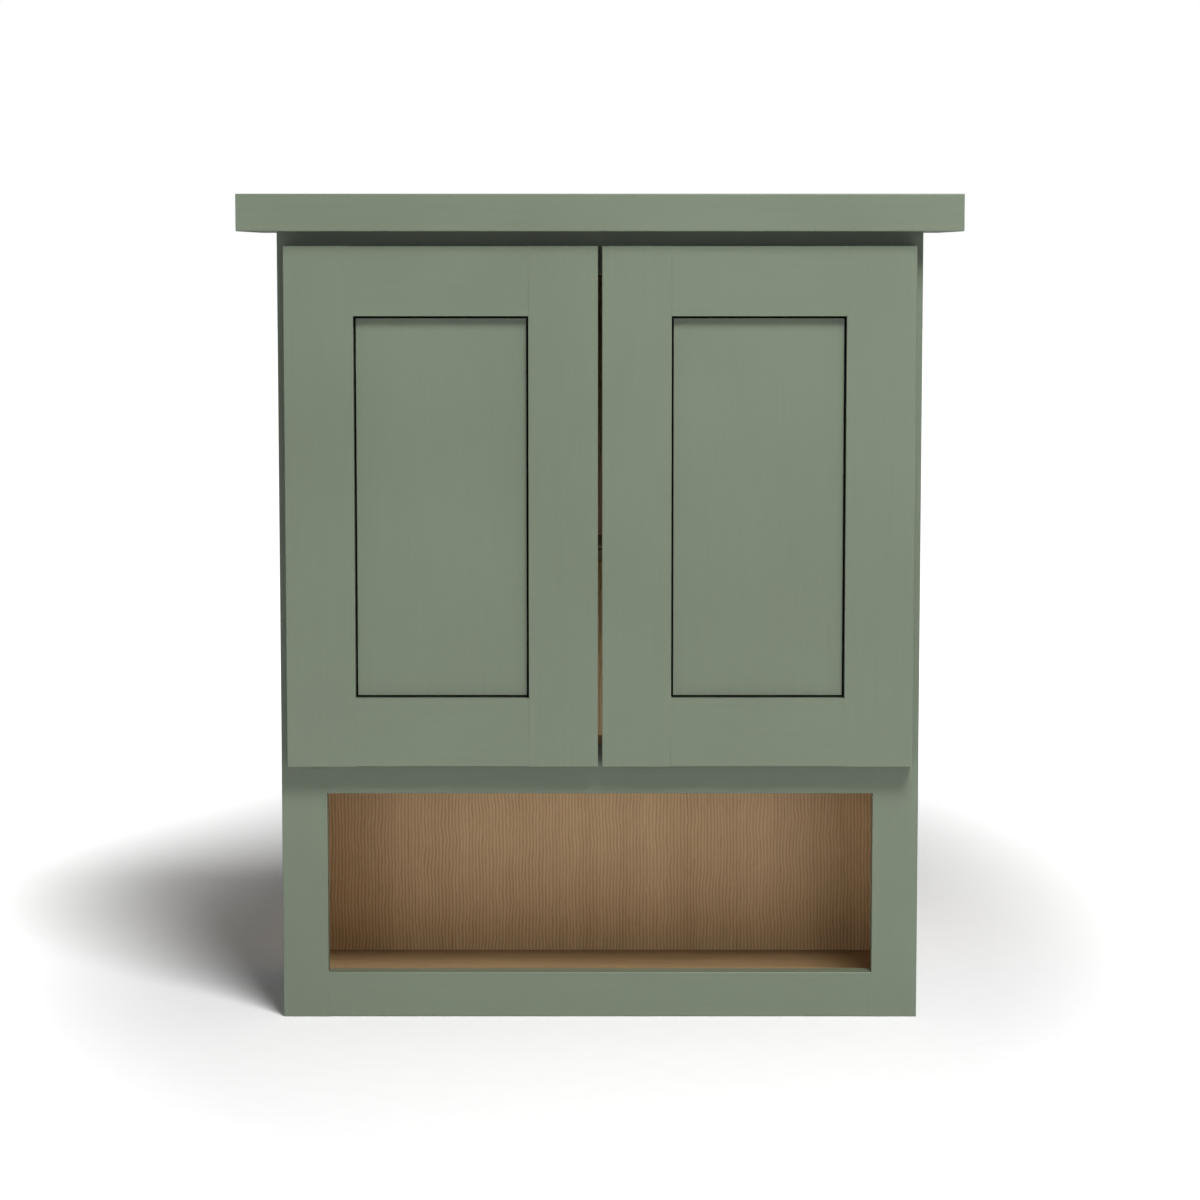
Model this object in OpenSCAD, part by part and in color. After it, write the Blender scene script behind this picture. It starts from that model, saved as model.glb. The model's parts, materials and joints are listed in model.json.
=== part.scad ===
// Wall-mounted bathroom cabinet: a face-frame case with two full-overlay doors on concealed cup
// hinges, an open niche below them and a flat crown that overhangs the front and both sides.
// Millimetres, +Z up, front towards -Y. The wall is the plane y = 0 and the origin is the centre of
// the four wall screws. Inside the modules, y = 0 is the front of the face frame and z = 0 the
// underside of the case; place() moves the finished piece to the origin described above.

/* [Case] */
// Width over the side panels
case_w = 609.6; // [560:0.1:720]
// Height of the case without the crown
case_h = 752.5; // [700:0.5:830]
// Depth from the wall to the front of the face frame
case_d = 203.2; // [185:0.1:260]
// Thickness of the side panels
side_t = 12.7; // [11:0.1:16]
// Thickness of the top, divider and bottom panels
panel_t = 12.7; // [11:0.1:16]
// Depth of the grooves in the sides that hold the other panels
dado_depth = 4; // [2.5:0.1:6]
// Thickness of the back panel
back_t = 5.5; // [4:0.1:8]
// Height of the back panel's lower edge above the underside
back_lift = 6; // [3:0.5:12]
// How far the niche floor lies below the top of the bottom rail
floor_drop = 16.3; // [10:0.1:20]
// How far the divider panel lies below the top of the middle rail
divider_drop = 16; // [10:0.1:20]

/* [Wall fixing] */
// Thickness of the hanging rails behind the back panel
hang_t = 12.7; // [10:0.1:19]
// Height of the upper and middle hanging rails
hang_h = 70; // [60:1:90]
// Height of the lower hanging rail
low_hang_h = 50; // [30:1:70]
// Distance between the wall screws, stud to stud
stud_spacing = 406.4; // [400:0.1:480]
// Height of a wall screw hole above or below its rail's edge
hang_hole_edge = 25; // [20:1:30]
// Diameter of the wall screw holes
wall_hole_d = 5.5; // [4.5:0.1:6.5]

/* [Face frame] */
// Thickness of the face frame
frame_t = 19.05; // [18:0.05:22]
// Width of the frame's stiles
frame_stile_w = 43.4; // [42:0.1:48]
// Height of the bottom rail
bottom_rail_h = 43.3; // [38:0.1:56]
// Height of the open niche between the bottom and middle rails
niche_h = 173.9; // [140:0.1:200]
// Height of the middle rail
middle_rail_h = 46.3; // [40:0.1:56]
// Height of the top rail
top_rail_h = 40.7; // [36:0.1:56]
// Diameter of the dowels that join the frame
dowel_d = 8; // [6:0.5:10]
// Length of a frame dowel
dowel_l = 30; // [24:1:40]
// Distance between the two dowels of a joint
dowel_gap = 20; // [16:1:22]
// Radius that eases the frame's and the crown's long edges
frame_ease = 1; // [0.5:0.1:2]

/* [Crown] */
// Height of the crown boards
crown_h = 34.9; // [28:0.1:45]
// Overhang at the front and at both sides
crown_out = 34.9; // [20:0.1:45]
// Width of the crown boards, seen from above
crown_w = 70; // [66:0.5:84]
// Thickness of the cap panel that closes the crown
cap_t = 12.7; // [9:0.1:16]
// Width of the rebate that carries the cap panel
cap_rebate = 10; // [6:0.5:14]
// Thickness of the rail at the crown's wall side
crown_rear_t = 19; // [14:0.5:25]

/* [Doors] */
// Thickness of the door frames
door_t = 19; // [18:0.1:22]
// Gap between the closed doors and the face frame
door_gap = 2.4; // [2.2:0.1:3.2]
// Face frame seen beside a closed door
side_reveal = 7.35; // [5:0.05:9]
// Face frame seen above a closed door
top_reveal = 13.5; // [8:0.1:18]
// How far a door laps over the middle rail
bottom_lap = 17; // [12:0.1:24]
// Gap between the two closed doors
meeting_gap = 3.8; // [2:0.1:6]
// Width of the door stiles and rails
door_frame_w = 65.5; // [56:0.1:76]
// Radius that eases the door's outer edges
door_ease = 1; // [0.5:0.1:1.6]
// Depth of the door panel's face below the door frame's face
panel_recess = 8; // [5:0.1:9]
// Thickness of the door panel's field
field_t = 8; // [6:0.1:9]
// Thickness of the tongue round the door panel and at the rail ends
tongue_t = 3.5; // [3:0.1:4.5]
// Depth of the groove in the door's stiles and rails
groove_depth = 9.5; // [7:0.1:12]
// Width of the shadow gap round the panel's field
shadow_gap = 2; // [1:0.1:3.5]
// Room for the panel to swell at the bottom of its groove
panel_float = 0.9; // [0.5:0.1:1.5]
// Diameter of the door bumpers
bumper_d = 10; // [7:0.5:12]

/* [Hinges] */
// Distance from a door's end to the centre of its hinge
hinge_inset = 75; // [60:1:110]
// Diameter of the hinge cup
cup_d = 34.9; // [34.9:0.1:35.9]
// Wood between the cup's hole and the door's edge
cup_tab = 3; // [2.8:0.1:3.4]
// Thickness of the cup's wall round its pocket
cup_wall = 0.65; // [0.5:0.05:0.8]
// Thickness of the cup's floor
cup_floor = 0.6; // [0.4:0.1:1]
// Distance from the door's outer edge to the pin, across the door
pin_in = 6.65; // [6.4:0.05:6.8]
// Distance from the door's back to the pin
pin_deep = 10.2; // [10.1:0.05:10.6]
// Diameter of the hinge pin
pin_d = 2.2; // [2:0.1:2.4]
// Wall of the arm's knuckle round the pin
knuckle_wall = 0.95; // [0.8:0.05:1]
// Thickness of the arm's steel
arm_t = 1.5; // [1.2:0.05:1.6]
// Height of the arm's knuckle
knuckle_h = 8; // [6:0.5:8.5]
// Height of the arm's neck, which passes the frame's edge
neck_h = 13; // [10:0.5:14]
// Height of the arm's base plate
base_h = 36; // [32:1:44]
// Length of the base plate along the frame's thickness
base_l = 17; // [15:0.5:17.5]
// Distance between the two screws of a base plate
base_screw_gap = 22; // [20:1:24]
// Thickness of the cup's lip
lip_t = 1.2; // [1:0.1:1.4]
// Distance between the two screws of a cup
ear_gap = 45; // [44:0.5:48]
// Distance of the cup's screws from its centre, across the door
ear_in = 9.5; // [8:0.5:10]
// Radius of the cup's ears
ear_r = 6; // [5:0.1:6.5]

/* [Shelf] */
// Thickness of the adjustable shelf
shelf_t = 12.7; // [12:0.1:19]
// Gap between the shelf and each side panel
shelf_side_gap = 1; // [0.5:0.1:2]
// Distance from the face frame to the shelf's front edge
shelf_setback = 6; // [2:0.5:20]
// Number of the pin hole, counted from the lowest, that the shelf rests on
shelf_hole = 4; // [1:1:6]
// Diameter of a shelf pin
peg_d = 4.9; // [4.5:0.1:5.5]
// Length of a shelf pin inside its hole
peg_l = 8; // [6:0.5:8.5]
// Size of the shelf pin's square seat
peg_seat = 9; // [7:0.5:12]
// Distance between neighbouring pin holes
peg_pitch = 32; // [25:1:40]
// Distance from the pin holes to the front frame and to the back panel
peg_inset = 37; // [25:1:45]
// Height kept free of pin holes above the divider and below the top panel
peg_free_h = 90; // [70:1:120]

/* [Hidden] */
$fn = 64;

// Colours
paint = [0.54, 0.58, 0.51];
timber = [0.62, 0.47, 0.34];
steel = [0.75, 0.74, 0.71];
rubber = [0.85, 0.85, 0.82];

// Overlap of a cutting shape past the face that it opens
cut = 1;
// Gap between a dowel, screw or peg and the wall of its hole
hole_clear = 0.05;
// Empty length at the bottom of a blind hole
hole_end = 1;

// Heights, counted from the underside of the case
niche_top = bottom_rail_h + niche_h;
middle_rail_top = niche_top + middle_rail_h;
top_rail_bottom = case_h - top_rail_h;
floor_top = bottom_rail_h - floor_drop;
floor_bottom = floor_top - panel_t;
divider_top = middle_rail_top - divider_drop;
divider_bottom = divider_top - panel_t;
ceiling = case_h - panel_t;

// Depths, counted from the front of the face frame towards the wall
hang_front = case_d - hang_t;
back_front = hang_front - back_t;

// Wall screws
upper_hole_z = case_h - hang_h + hang_hole_edge;
middle_hole_z = divider_top + hang_h - hang_hole_edge;
origin_z = (upper_hole_z + middle_hole_z) / 2;

// Doors
door_z = middle_rail_top - bottom_lap;
door_h = case_h - top_reveal - door_z;
door_w = (case_w - meeting_gap) / 2 - side_reveal;
door_x = -case_w / 2 + side_reveal;
panel_w = door_w - 2 * door_frame_w;
panel_h = door_h - 2 * door_frame_w;
// Back of the door panel, counted from the door's back
panel_back = door_t - panel_recess - field_t;
// Play of a tongue in its groove, each side
tongue_play = 0.1;
// Gap between the end of a rail's tongue and the bottom of its groove
tongue_end_gap = 0.2;
// Play between a bumper and the face frame
bumper_play = 0.3;
bumper_t = door_gap - bumper_play;
bumper_top_r = bumper_d / 2 - 1;
bumper_edge = 15;
bumper_high_z = top_rail_bottom + (door_z + door_h - top_rail_bottom) / 2;
bumper_low_z = door_z + bottom_lap / 2;

// Hinges, across counted from the case's side and forward from the face frame's front
cup_r = cup_d / 2;
cup_hole_r = cup_r + hole_clear;
cup_across = side_reveal + cup_tab + cup_hole_r;
pin_across = side_reveal + pin_in;
pin_forward = door_gap + pin_deep;
pin_r = pin_d / 2;
// Radial play of the arm's knuckle on the pin
pin_play = 0.05;
// Radial gap between the pin and its seats in the cup
pin_seat_gap = 0.02;
// Gap past each end of the pin
pin_end_gap = 0.1;
knuckle_r = pin_r + pin_play + knuckle_wall;
// Steel left round the ends of the pin, which sets its length
pin_cover = 0.3;
pin_l = 2 * sqrt(pow(cup_r - pin_cover, 2) - pow(cup_across - pin_across + pin_r, 2));
// Clearance of the knuckle over the pocket's floor, and of knuckle and neck in their slots, each side
floor_play = 0.4;
knuckle_play = 0.3;
neck_play = 0.8;
pocket_forward = pin_forward + knuckle_r + floor_play;
cup_depth = pocket_forward + cup_floor - door_gap;
knuckle_slot_h = knuckle_h + 2 * knuckle_play;
neck_slot_h = neck_h + 2 * neck_play;
// Where the pocket widens from the knuckle's slot to the neck's: this far past the pin
slot_step_run = 6.5;
slot_step = pin_across + slot_step_run;
// Steel kept off the face frame's front
arm_lift = 0.25;
upper_hinge_z = door_z + door_h - hinge_inset;
lower_hinge_z = door_z + hinge_inset;
hinge_heights = [upper_hinge_z, lower_hinge_z];

// Screws
cup_screw_r = 1.75;
cup_screw_head_r = 3.4;
cup_screw_l = 12;
base_screw_r = 2;
base_screw_head_r = 3.8;
base_screw_head_h = 2.2;
base_screw_head_taper = 0.8;
base_hole_play = 0.2;
base_corner_r = 3;
base_screw_l = 16;
// Distance of the base plate's screws behind the frame's front
base_screw_back = 9.5;
crown_screw_r = 2;
crown_screw_head_r = 4;
crown_screw_head_h = 2.4;
crown_screw_l = 30;

// Shelf pins
peg_hole_r = peg_d / 2 + hole_clear;
peg_hole_l = peg_l + hole_end;
peg_low = divider_top + peg_free_h;
peg_count = floor((ceiling - peg_free_h - peg_low) / peg_pitch) + 1;
peg_rows = [frame_t + peg_inset, back_front - peg_inset];
shelf_z = peg_low + (min(shelf_hole, peg_count) - 1) * peg_pitch + peg_seat / 2;
shelf_back_gap = 2;

// Crown
crown_x = case_w / 2 + crown_out;
crown_top = case_h + crown_h;
cap_z = crown_top - cap_t;
// Crown screws: two in the front board and two in each return, through the top panel
crown_screw_y = (frame_t + crown_w - crown_out) / 2;
crown_screw_x = case_w / 2 - (side_t + crown_w - crown_out) / 2;
crown_screw_points = [
    for (s = [-1, 1]) [s * case_w / 4, crown_screw_y],
    for (s = [-1, 1], t = [1 / 3, 3 / 4]) [s * crown_screw_x, case_d * t]
];

// Moves a finished piece so that the wall screws' centre is the origin
module place() {
    translate([0, -case_d, -origin_z]) children();
}

// A rectangle from the origin, with the listed corners rounded: 0 near, 1 right, 2 far, 3 left
module eased_rect(w, h, r, corners) {
    at = [[0, 0], [w, 0], [w, h], [0, h]];
    inside = [[r, r], [w - r, r], [w - r, h - r], [r, h - r]];
    difference() {
        square([w, h]);
        for (i = corners) translate(at[i]) square(2 * r, center = true);
    }
    for (i = corners) translate(inside[i]) circle(r);
}

// Extrudes a profile along X: the profile's x runs along Y and its y along Z
module along_x(x0, x1) {
    translate([x0, 0, 0]) rotate([90, 0, 90]) linear_extrude(x1 - x0) children();
}

// Extrudes a profile along Y towards the front: the profile lies in X and Z
module towards_front(y0, length) {
    translate([0, y0, 0]) rotate([90, 0, 0]) linear_extrude(length) children();
}

// A block between two corners
module block(a, b) {
    translate(a) cube([for (i = [0:2]) b[i] - a[i]]);
}

// A round hole or rod from a point along +X, -Y or +Z
module rod_x(at, r, l) { translate(at) rotate([0, 90, 0]) cylinder(r = r, h = l); }
module rod_front(at, r, l) { translate(at) rotate([90, 0, 0]) cylinder(r = r, h = l); }
module rod_up(at, r, l) { translate(at) cylinder(r = r, h = l); }

// Case

module side_panel() {
    outer = -case_w / 2;
    inner = outer + side_t;
    difference() {
        block([outer, frame_t, 0], [inner, case_d, case_h]);
        for (z = [floor_bottom, divider_bottom, ceiling])
            block([inner - dado_depth, frame_t - cut, z],
                  [inner + cut, back_front, z + panel_t + (z == ceiling ? cut : 0)]);
        block([inner - dado_depth, back_front, back_lift], [inner + cut, hang_front, case_h + cut]);
        for (y = peg_rows, i = [0:peg_count - 1])
            rod_x([inner - peg_hole_l, y, peg_low + i * peg_pitch], peg_hole_r, peg_hole_l + cut);
    }
}

// A level panel that sits in the grooves of both sides
module level_panel(z) {
    reach = case_w / 2 - side_t + dado_depth;
    block([-reach, frame_t, z], [reach, back_front, z + panel_t]);
}

module left_side_panel() color(paint) place() side_panel();
module right_side_panel() color(paint) place() mirror([1, 0, 0]) side_panel();

module top_panel() color(timber) place() difference() {
    level_panel(ceiling);
    for (p = crown_screw_points) {
        rod_up([p.x, p.y, ceiling - cut], crown_screw_r + hole_clear, panel_t + 2 * cut);
        translate([p.x, p.y, ceiling - 0.01])
            cylinder(r1 = crown_screw_head_r + hole_clear, r2 = crown_screw_r + hole_clear,
                     h = crown_screw_head_h);
    }
}

module divider_panel() color(timber) place() level_panel(divider_bottom);
module bottom_panel() color(timber) place() level_panel(floor_bottom);

module wall_holes(y, length) {
    for (s = [-1, 1], z = [upper_hole_z, middle_hole_z])
        rod_front([s * stud_spacing / 2, y, z], wall_hole_d / 2, length);
}

module back_panel() color(timber) place() difference() {
    reach = case_w / 2 - side_t + dado_depth;
    block([-reach, back_front, back_lift], [reach, hang_front, case_h]);
    wall_holes(case_d, hang_t + back_t + cut);
}

module hanging_rail(z, h) {
    reach = case_w / 2 - side_t;
    difference() {
        block([-reach, hang_front, z], [reach, case_d, z + h]);
        wall_holes(case_d + cut, hang_t + 2 * cut);
    }
}

module upper_hanging_rail() color(timber) place() hanging_rail(case_h - hang_h, hang_h);
module middle_hanging_rail() color(timber) place() hanging_rail(divider_top, hang_h);
module lower_hanging_rail() color(timber) place() hanging_rail(back_lift, low_hang_h);

module adjustable_shelf() color(timber) place() {
    reach = case_w / 2 - side_t - shelf_side_gap;
    along_x(-reach, reach)
        translate([frame_t + shelf_setback, shelf_z])
            eased_rect(back_front - frame_t - shelf_setback - shelf_back_gap, shelf_t, frame_ease, [0, 3]);
}

// A peg in the side panel with a flat-topped seat that the shelf lies on
module shelf_pin(y) {
    inner = -case_w / 2 + side_t;
    z = shelf_z - peg_seat / 2;
    rod_x([inner - peg_l, y, z], peg_d / 2, peg_l);
    block([inner, y - peg_seat / 2, z - peg_seat / 2], [inner + peg_seat, y + peg_seat / 2, shelf_z]);
}

module shelf_pins() color(steel) place() {
    for (y = peg_rows) {
        shelf_pin(y);
        mirror([1, 0, 0]) shelf_pin(y);
    }
}

// Face frame

// Centres of the dowel joints: height of each rail's middle
rail_middles = [bottom_rail_h / 2, niche_top + middle_rail_h / 2, case_h - top_rail_h / 2];

module dowel_rods(r, l) {
    joint = -case_w / 2 + frame_stile_w;
    for (m = rail_middles, s = [-1, 1])
        rod_x([joint - l / 2, frame_t / 2, m + s * dowel_gap / 2], r, l);
}

module dowel_holes() dowel_rods(dowel_d / 2 + hole_clear, dowel_l + 2 * hole_end);

module frame_stile() {
    difference() {
        linear_extrude(case_h) translate([-case_w / 2, 0])
            eased_rect(frame_stile_w, frame_t, frame_ease, [0]);
        dowel_holes();
        for (h = hinge_heights, s = [-1, 1])
            translate([0, 0, h]) base_screw_shank(s, hole_clear, hole_end);
    }
}

module frame_rail(z, h, corners) {
    reach = case_w / 2 - frame_stile_w;
    difference() {
        along_x(-reach, reach) translate([0, z]) eased_rect(frame_t, h, frame_ease, corners);
        dowel_holes();
        mirror([1, 0, 0]) dowel_holes();
    }
}

module left_frame_stile() color(paint) place() frame_stile();
module right_frame_stile() color(paint) place() mirror([1, 0, 0]) frame_stile();
module top_frame_rail() color(paint) place() frame_rail(top_rail_bottom, top_rail_h, [0]);
module middle_frame_rail() color(paint) place() frame_rail(niche_top, middle_rail_h, [0]);
module bottom_frame_rail() color(paint) place() frame_rail(0, bottom_rail_h, [0, 3]);

module frame_dowels() color(timber) place() {
    dowel_rods(dowel_d / 2, dowel_l);
    mirror([1, 0, 0]) dowel_rods(dowel_d / 2, dowel_l);
}

// Crown

// Section of a crown board: the outer face at 0, the rebate for the cap panel at the inner top
module crown_section() {
    difference() {
        eased_rect(crown_w, crown_h, frame_ease, [0, 3]);
        translate([crown_w - cap_rebate, crown_h - cap_t]) square([cap_rebate + cut, cap_t + cut]);
    }
}

// Plan of the front board, with its mitres, and of the whole crown
module front_board_plan() {
    polygon([[-crown_x, -crown_out], [crown_x, -crown_out],
             [crown_x - crown_w, crown_w - crown_out], [crown_w - crown_x, crown_w - crown_out]]);
}

module left_board_plan() {
    polygon([[-crown_x, -crown_out], [crown_w - crown_x, crown_w - crown_out],
             [crown_w - crown_x, case_d], [-crown_x, case_d]]);
}

module crown_screw_holes() {
    for (p = crown_screw_points)
        rod_up([p.x, p.y, case_h - cut], crown_screw_r + hole_clear,
               crown_screw_l - panel_t + hole_end + cut);
}

module crown_return() {
    difference() {
        intersection() {
            translate([-crown_x, 0, case_h]) towards_front(case_d, case_d + crown_out) crown_section();
            translate([0, 0, case_h - cut]) linear_extrude(crown_h + 2 * cut) left_board_plan();
        }
        crown_screw_holes();
    }
}

module crown_front() color(paint) place() difference() {
    intersection() {
        along_x(-crown_x, crown_x) translate([-crown_out, case_h]) crown_section();
        translate([0, 0, case_h - cut]) linear_extrude(crown_h + 2 * cut) front_board_plan();
    }
    crown_screw_holes();
}

module crown_left_return() color(paint) place() crown_return();
module crown_right_return() color(paint) place() mirror([1, 0, 0]) crown_return();

module crown_rear_rail() color(paint) place()
    block([crown_w - crown_x, case_d - crown_rear_t, case_h], [crown_x - crown_w, case_d, cap_z]);

module cap_panel() color(paint) place() {
    reach = crown_x - crown_w + cap_rebate;
    block([-reach, crown_w - crown_out - cap_rebate, cap_z], [reach, case_d, crown_top]);
}

module crown_screws() color(steel) place()
    for (p = crown_screw_points) {
        rod_up([p.x, p.y, ceiling], crown_screw_r, crown_screw_l);
        translate([p.x, p.y, ceiling])
            cylinder(r1 = crown_screw_head_r, r2 = crown_screw_r, h = crown_screw_head_h);
    }

// Doors: the pieces of the left door, which the right door mirrors

// The door's groove in a section: its depth runs along x, from the door's inner edge at 0
module groove_section() {
    translate([0, -door_gap - panel_back - tongue_t - tongue_play])
        square([groove_depth + cut, tongue_t + 2 * tongue_play]);
}

// Seat of one hinge in the door: the cup's hole and its two screw holes
module hinge_seat(z) {
    rod_front([cup_across - case_w / 2, cut - door_gap, z], cup_hole_r, cup_depth + hole_clear + cut);
    for (s = [-1, 1])
        rod_front([cup_across + ear_in - case_w / 2, cut - door_gap, z + s * ear_gap / 2],
                  cup_screw_r + hole_clear, cup_screw_l - lip_t + hole_end + cut);
}

// A door stile with its outer edge at x = 0, and the corners that are eased there
module door_stile_plan() {
    difference() {
        translate([0, -door_gap - door_t]) eased_rect(door_frame_w, door_t, door_ease, [0, 3]);
        translate([door_frame_w - groove_depth, 0]) groove_section();
    }
}

module door_hinge_stile() {
    difference() {
        translate([door_x, 0, door_z]) linear_extrude(door_h) door_stile_plan();
        for (h = hinge_heights) hinge_seat(h);
    }
}

module door_free_stile() {
    translate([door_x + door_w, 0, door_z]) linear_extrude(door_h) mirror([1, 0]) door_stile_plan();
}

// A rail between the stiles, with its tongues in their grooves: outer edge at z = 0
module door_rail_section() {
    difference() {
        translate([-door_gap - door_t, 0]) eased_rect(door_t, door_frame_w, door_ease, [0, 1]);
        translate([-door_gap - panel_back - tongue_t - tongue_play, door_frame_w - groove_depth])
            square([tongue_t + 2 * tongue_play, groove_depth + cut]);
    }
}

module door_rail() {
    near = door_x + door_frame_w;
    far = door_x + door_w - door_frame_w;
    tenon = groove_depth - tongue_end_gap;
    along_x(near, far) door_rail_section();
    for (x = [near - tenon, far])
        along_x(x, x + tenon)
            translate([-door_gap - panel_back - tongue_t, 0])
                square([tongue_t, door_frame_w - groove_depth]);
}

module door_bottom_rail() translate([0, 0, door_z]) door_rail();
module door_top_rail() translate([0, 0, door_z + door_h]) mirror([0, 0, 1]) door_rail();

// The panel's tongue floats in the grooves, and its field stands inside the frame by the shadow gap
module door_panel() {
    back = -door_gap - panel_back;
    x0 = door_x + door_frame_w;
    z0 = door_z + door_frame_w;
    reach = groove_depth - panel_float;
    block([x0 - reach, back - tongue_t, z0 - reach], [x0 + panel_w + reach, back, z0 + panel_h + reach]);
    block([x0 + shadow_gap, back - field_t, z0 + shadow_gap],
          [x0 + panel_w - shadow_gap, back, z0 + panel_h - shadow_gap]);
}

// Soft buttons on the door's back, at its free corners, which meet the top and middle rails
module door_bumpers() {
    for (z = [bumper_low_z, bumper_high_z])
        translate([door_x + door_w - bumper_edge, -door_gap, z]) rotate([-90, 0, 0])
            cylinder(r1 = bumper_d / 2, r2 = bumper_top_r, h = bumper_t);
}

// Hinges: the left door's, at height 0, with x counted across from the case's left side

// A strip of sheet metal, seen from above, along straight runs with round bends
module bent_strip(points, t) {
    for (i = [0:len(points) - 2]) {
        a = points[i];
        b = points[i + 1];
        translate(a) rotate(atan2(b.y - a.y, b.x - a.x)) translate([0, -t / 2]) square([norm(b - a), t]);
    }
    for (i = [1:len(points) - 2]) translate(points[i]) circle(d = t);
}

// The arm's line in plan: from the pin's far side over the cup's floor, down to the frame's front
// edge, round its corner and back along the stile's inner edge
arm_top = pin_forward + knuckle_r - arm_t / 2;
arm_low = arm_lift + arm_t / 2;
arm_edge = frame_stile_w + arm_t / 2;
// Length of the run along the cup's floor, start and height of the low bend, length of the foot
arm_run = 11.3;
arm_bend_in = 6.4;
arm_bend_up = 2.4;
arm_foot = 2.1;
arm_bend_a = [pin_across + arm_run, -arm_top];
arm_bend_b = [frame_stile_w - arm_bend_in, -arm_low - arm_bend_up];
arm_bend_c = [frame_stile_w - arm_foot, -arm_low];
arm_bend_d = [arm_edge, -arm_low];
// Where the narrow knuckle strip becomes the wider neck: this share of the run between the bends
neck_share = 0.19;
arm_step = arm_bend_a + (arm_bend_b - arm_bend_a) * neck_share;

module arm_knuckle_plan() {
    translate([pin_across, -pin_forward]) circle(knuckle_r);
    bent_strip([[pin_across, -arm_top], arm_bend_a, arm_bend_b], arm_t);
}

module arm_neck_plan() {
    bent_strip([arm_step, arm_bend_b, arm_bend_c, arm_bend_d, [arm_edge, arm_lift]], arm_t);
}

// The base plate lies on the stile's inner edge, behind the frame's front
module base_screw_shank(side, grow, extra) {
    rod_x([frame_stile_w + arm_t - base_screw_l - extra - case_w / 2, base_screw_back,
           side * base_screw_gap / 2], base_screw_r + grow, base_screw_l + extra);
}

module hinge_arm() {
    translate([-case_w / 2, 0, 0]) difference() {
        union() {
            translate([0, 0, -knuckle_h / 2]) linear_extrude(knuckle_h) arm_knuckle_plan();
            translate([0, 0, -neck_h / 2]) linear_extrude(neck_h) arm_neck_plan();
            rotate([90, 0, 90]) translate([0, 0, frame_stile_w]) linear_extrude(arm_t)
                translate([arm_lift, -base_h / 2])
                    eased_rect(base_l - arm_lift, base_h, base_corner_r, [0, 1, 2, 3]);
        }
        rod_up([pin_across, -pin_forward, -knuckle_h], pin_r + pin_play, 2 * knuckle_h);
        for (s = [-1, 1])
            rod_x([frame_stile_w - cut, base_screw_back, s * base_screw_gap / 2],
                  base_screw_r + base_hole_play, arm_t + 2 * cut);
    }
}

// Outline of the cup's lip, round its centre: a disc with two screw ears
module lip_plan() {
    circle(cup_r);
    translate([ear_in - ear_r, -ear_gap / 2]) square([2 * ear_r, ear_gap]);
    for (s = [-1, 1]) translate([ear_in, s * ear_gap / 2]) circle(ear_r);
}

// The pocket in which the arm swings: a narrow slot for the knuckle, a wider one for the neck
module cup_pocket_plan() {
    step = slot_step - cup_across;
    intersection() {
        circle(cup_r - cup_wall);
        union() {
            translate([-cup_r, -knuckle_slot_h / 2]) square([cup_d, knuckle_slot_h]);
            translate([step, -neck_slot_h / 2]) square([cup_d, neck_slot_h]);
        }
    }
}

module hinge_cup() {
    centre = cup_across - case_w / 2;
    translate([centre, 0, 0]) difference() {
        union() {
            rod_front([0, -door_gap, 0], cup_r, cup_depth);
            towards_front(lip_t - door_gap, lip_t) lip_plan();
        }
        towards_front(cut, cut + pocket_forward) cup_pocket_plan();
        block([-cup_d, -door_gap, -neck_slot_h / 2], [cup_d, cut, neck_slot_h / 2]);
        rod_up([pin_across - cup_across, -pin_forward, -pin_l / 2 - pin_end_gap],
               pin_r + pin_seat_gap, pin_l + 2 * pin_end_gap);
        for (s = [-1, 1])
            translate([ear_in, lip_t - door_gap + 0.01, s * ear_gap / 2]) rotate([90, 0, 0])
                cylinder(r1 = cup_screw_head_r + hole_clear, r2 = cup_screw_r + hole_clear,
                         h = lip_t + 0.02);
    }
}

module hinge_pins() {
    for (h = hinge_heights)
        rod_up([pin_across - case_w / 2, -pin_forward, h - pin_l / 2], pin_r, pin_l);
}

module cup_screws() {
    for (h = hinge_heights, s = [-1, 1])
        translate([cup_across + ear_in - case_w / 2, lip_t - door_gap, h + s * ear_gap / 2])
            rotate([90, 0, 0]) {
                cylinder(r1 = cup_screw_head_r, r2 = cup_screw_r, h = lip_t);
                cylinder(r = cup_screw_r, h = cup_screw_l);
            }
}

module arm_screws() {
    for (h = hinge_heights, s = [-1, 1])
        translate([0, 0, h]) {
            base_screw_shank(s, 0, 0);
            translate([frame_stile_w + arm_t - case_w / 2, base_screw_back, s * base_screw_gap / 2])
                rotate([0, 90, 0])
                    cylinder(r1 = base_screw_head_r, r2 = base_screw_head_r - base_screw_head_taper,
                             h = base_screw_head_h);
        }
}

// The left door and its hinges, and their mirror images on the right

module left_door_hinge_stile() color(paint) place() door_hinge_stile();
module left_door_free_stile() color(paint) place() door_free_stile();
module left_door_top_rail() color(paint) place() door_top_rail();
module left_door_bottom_rail() color(paint) place() door_bottom_rail();
module left_door_panel() color(paint) place() door_panel();
module left_door_bumpers() color(rubber) place() door_bumpers();
module left_upper_hinge_cup() color(steel) place() translate([0, 0, upper_hinge_z]) hinge_cup();
module left_lower_hinge_cup() color(steel) place() translate([0, 0, lower_hinge_z]) hinge_cup();
module left_upper_hinge_arm() color(steel) place() translate([0, 0, upper_hinge_z]) hinge_arm();
module left_lower_hinge_arm() color(steel) place() translate([0, 0, lower_hinge_z]) hinge_arm();
module left_hinge_pins() color(steel) place() hinge_pins();
module left_cup_screws() color(steel) place() cup_screws();
module left_arm_screws() color(steel) place() arm_screws();

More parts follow.
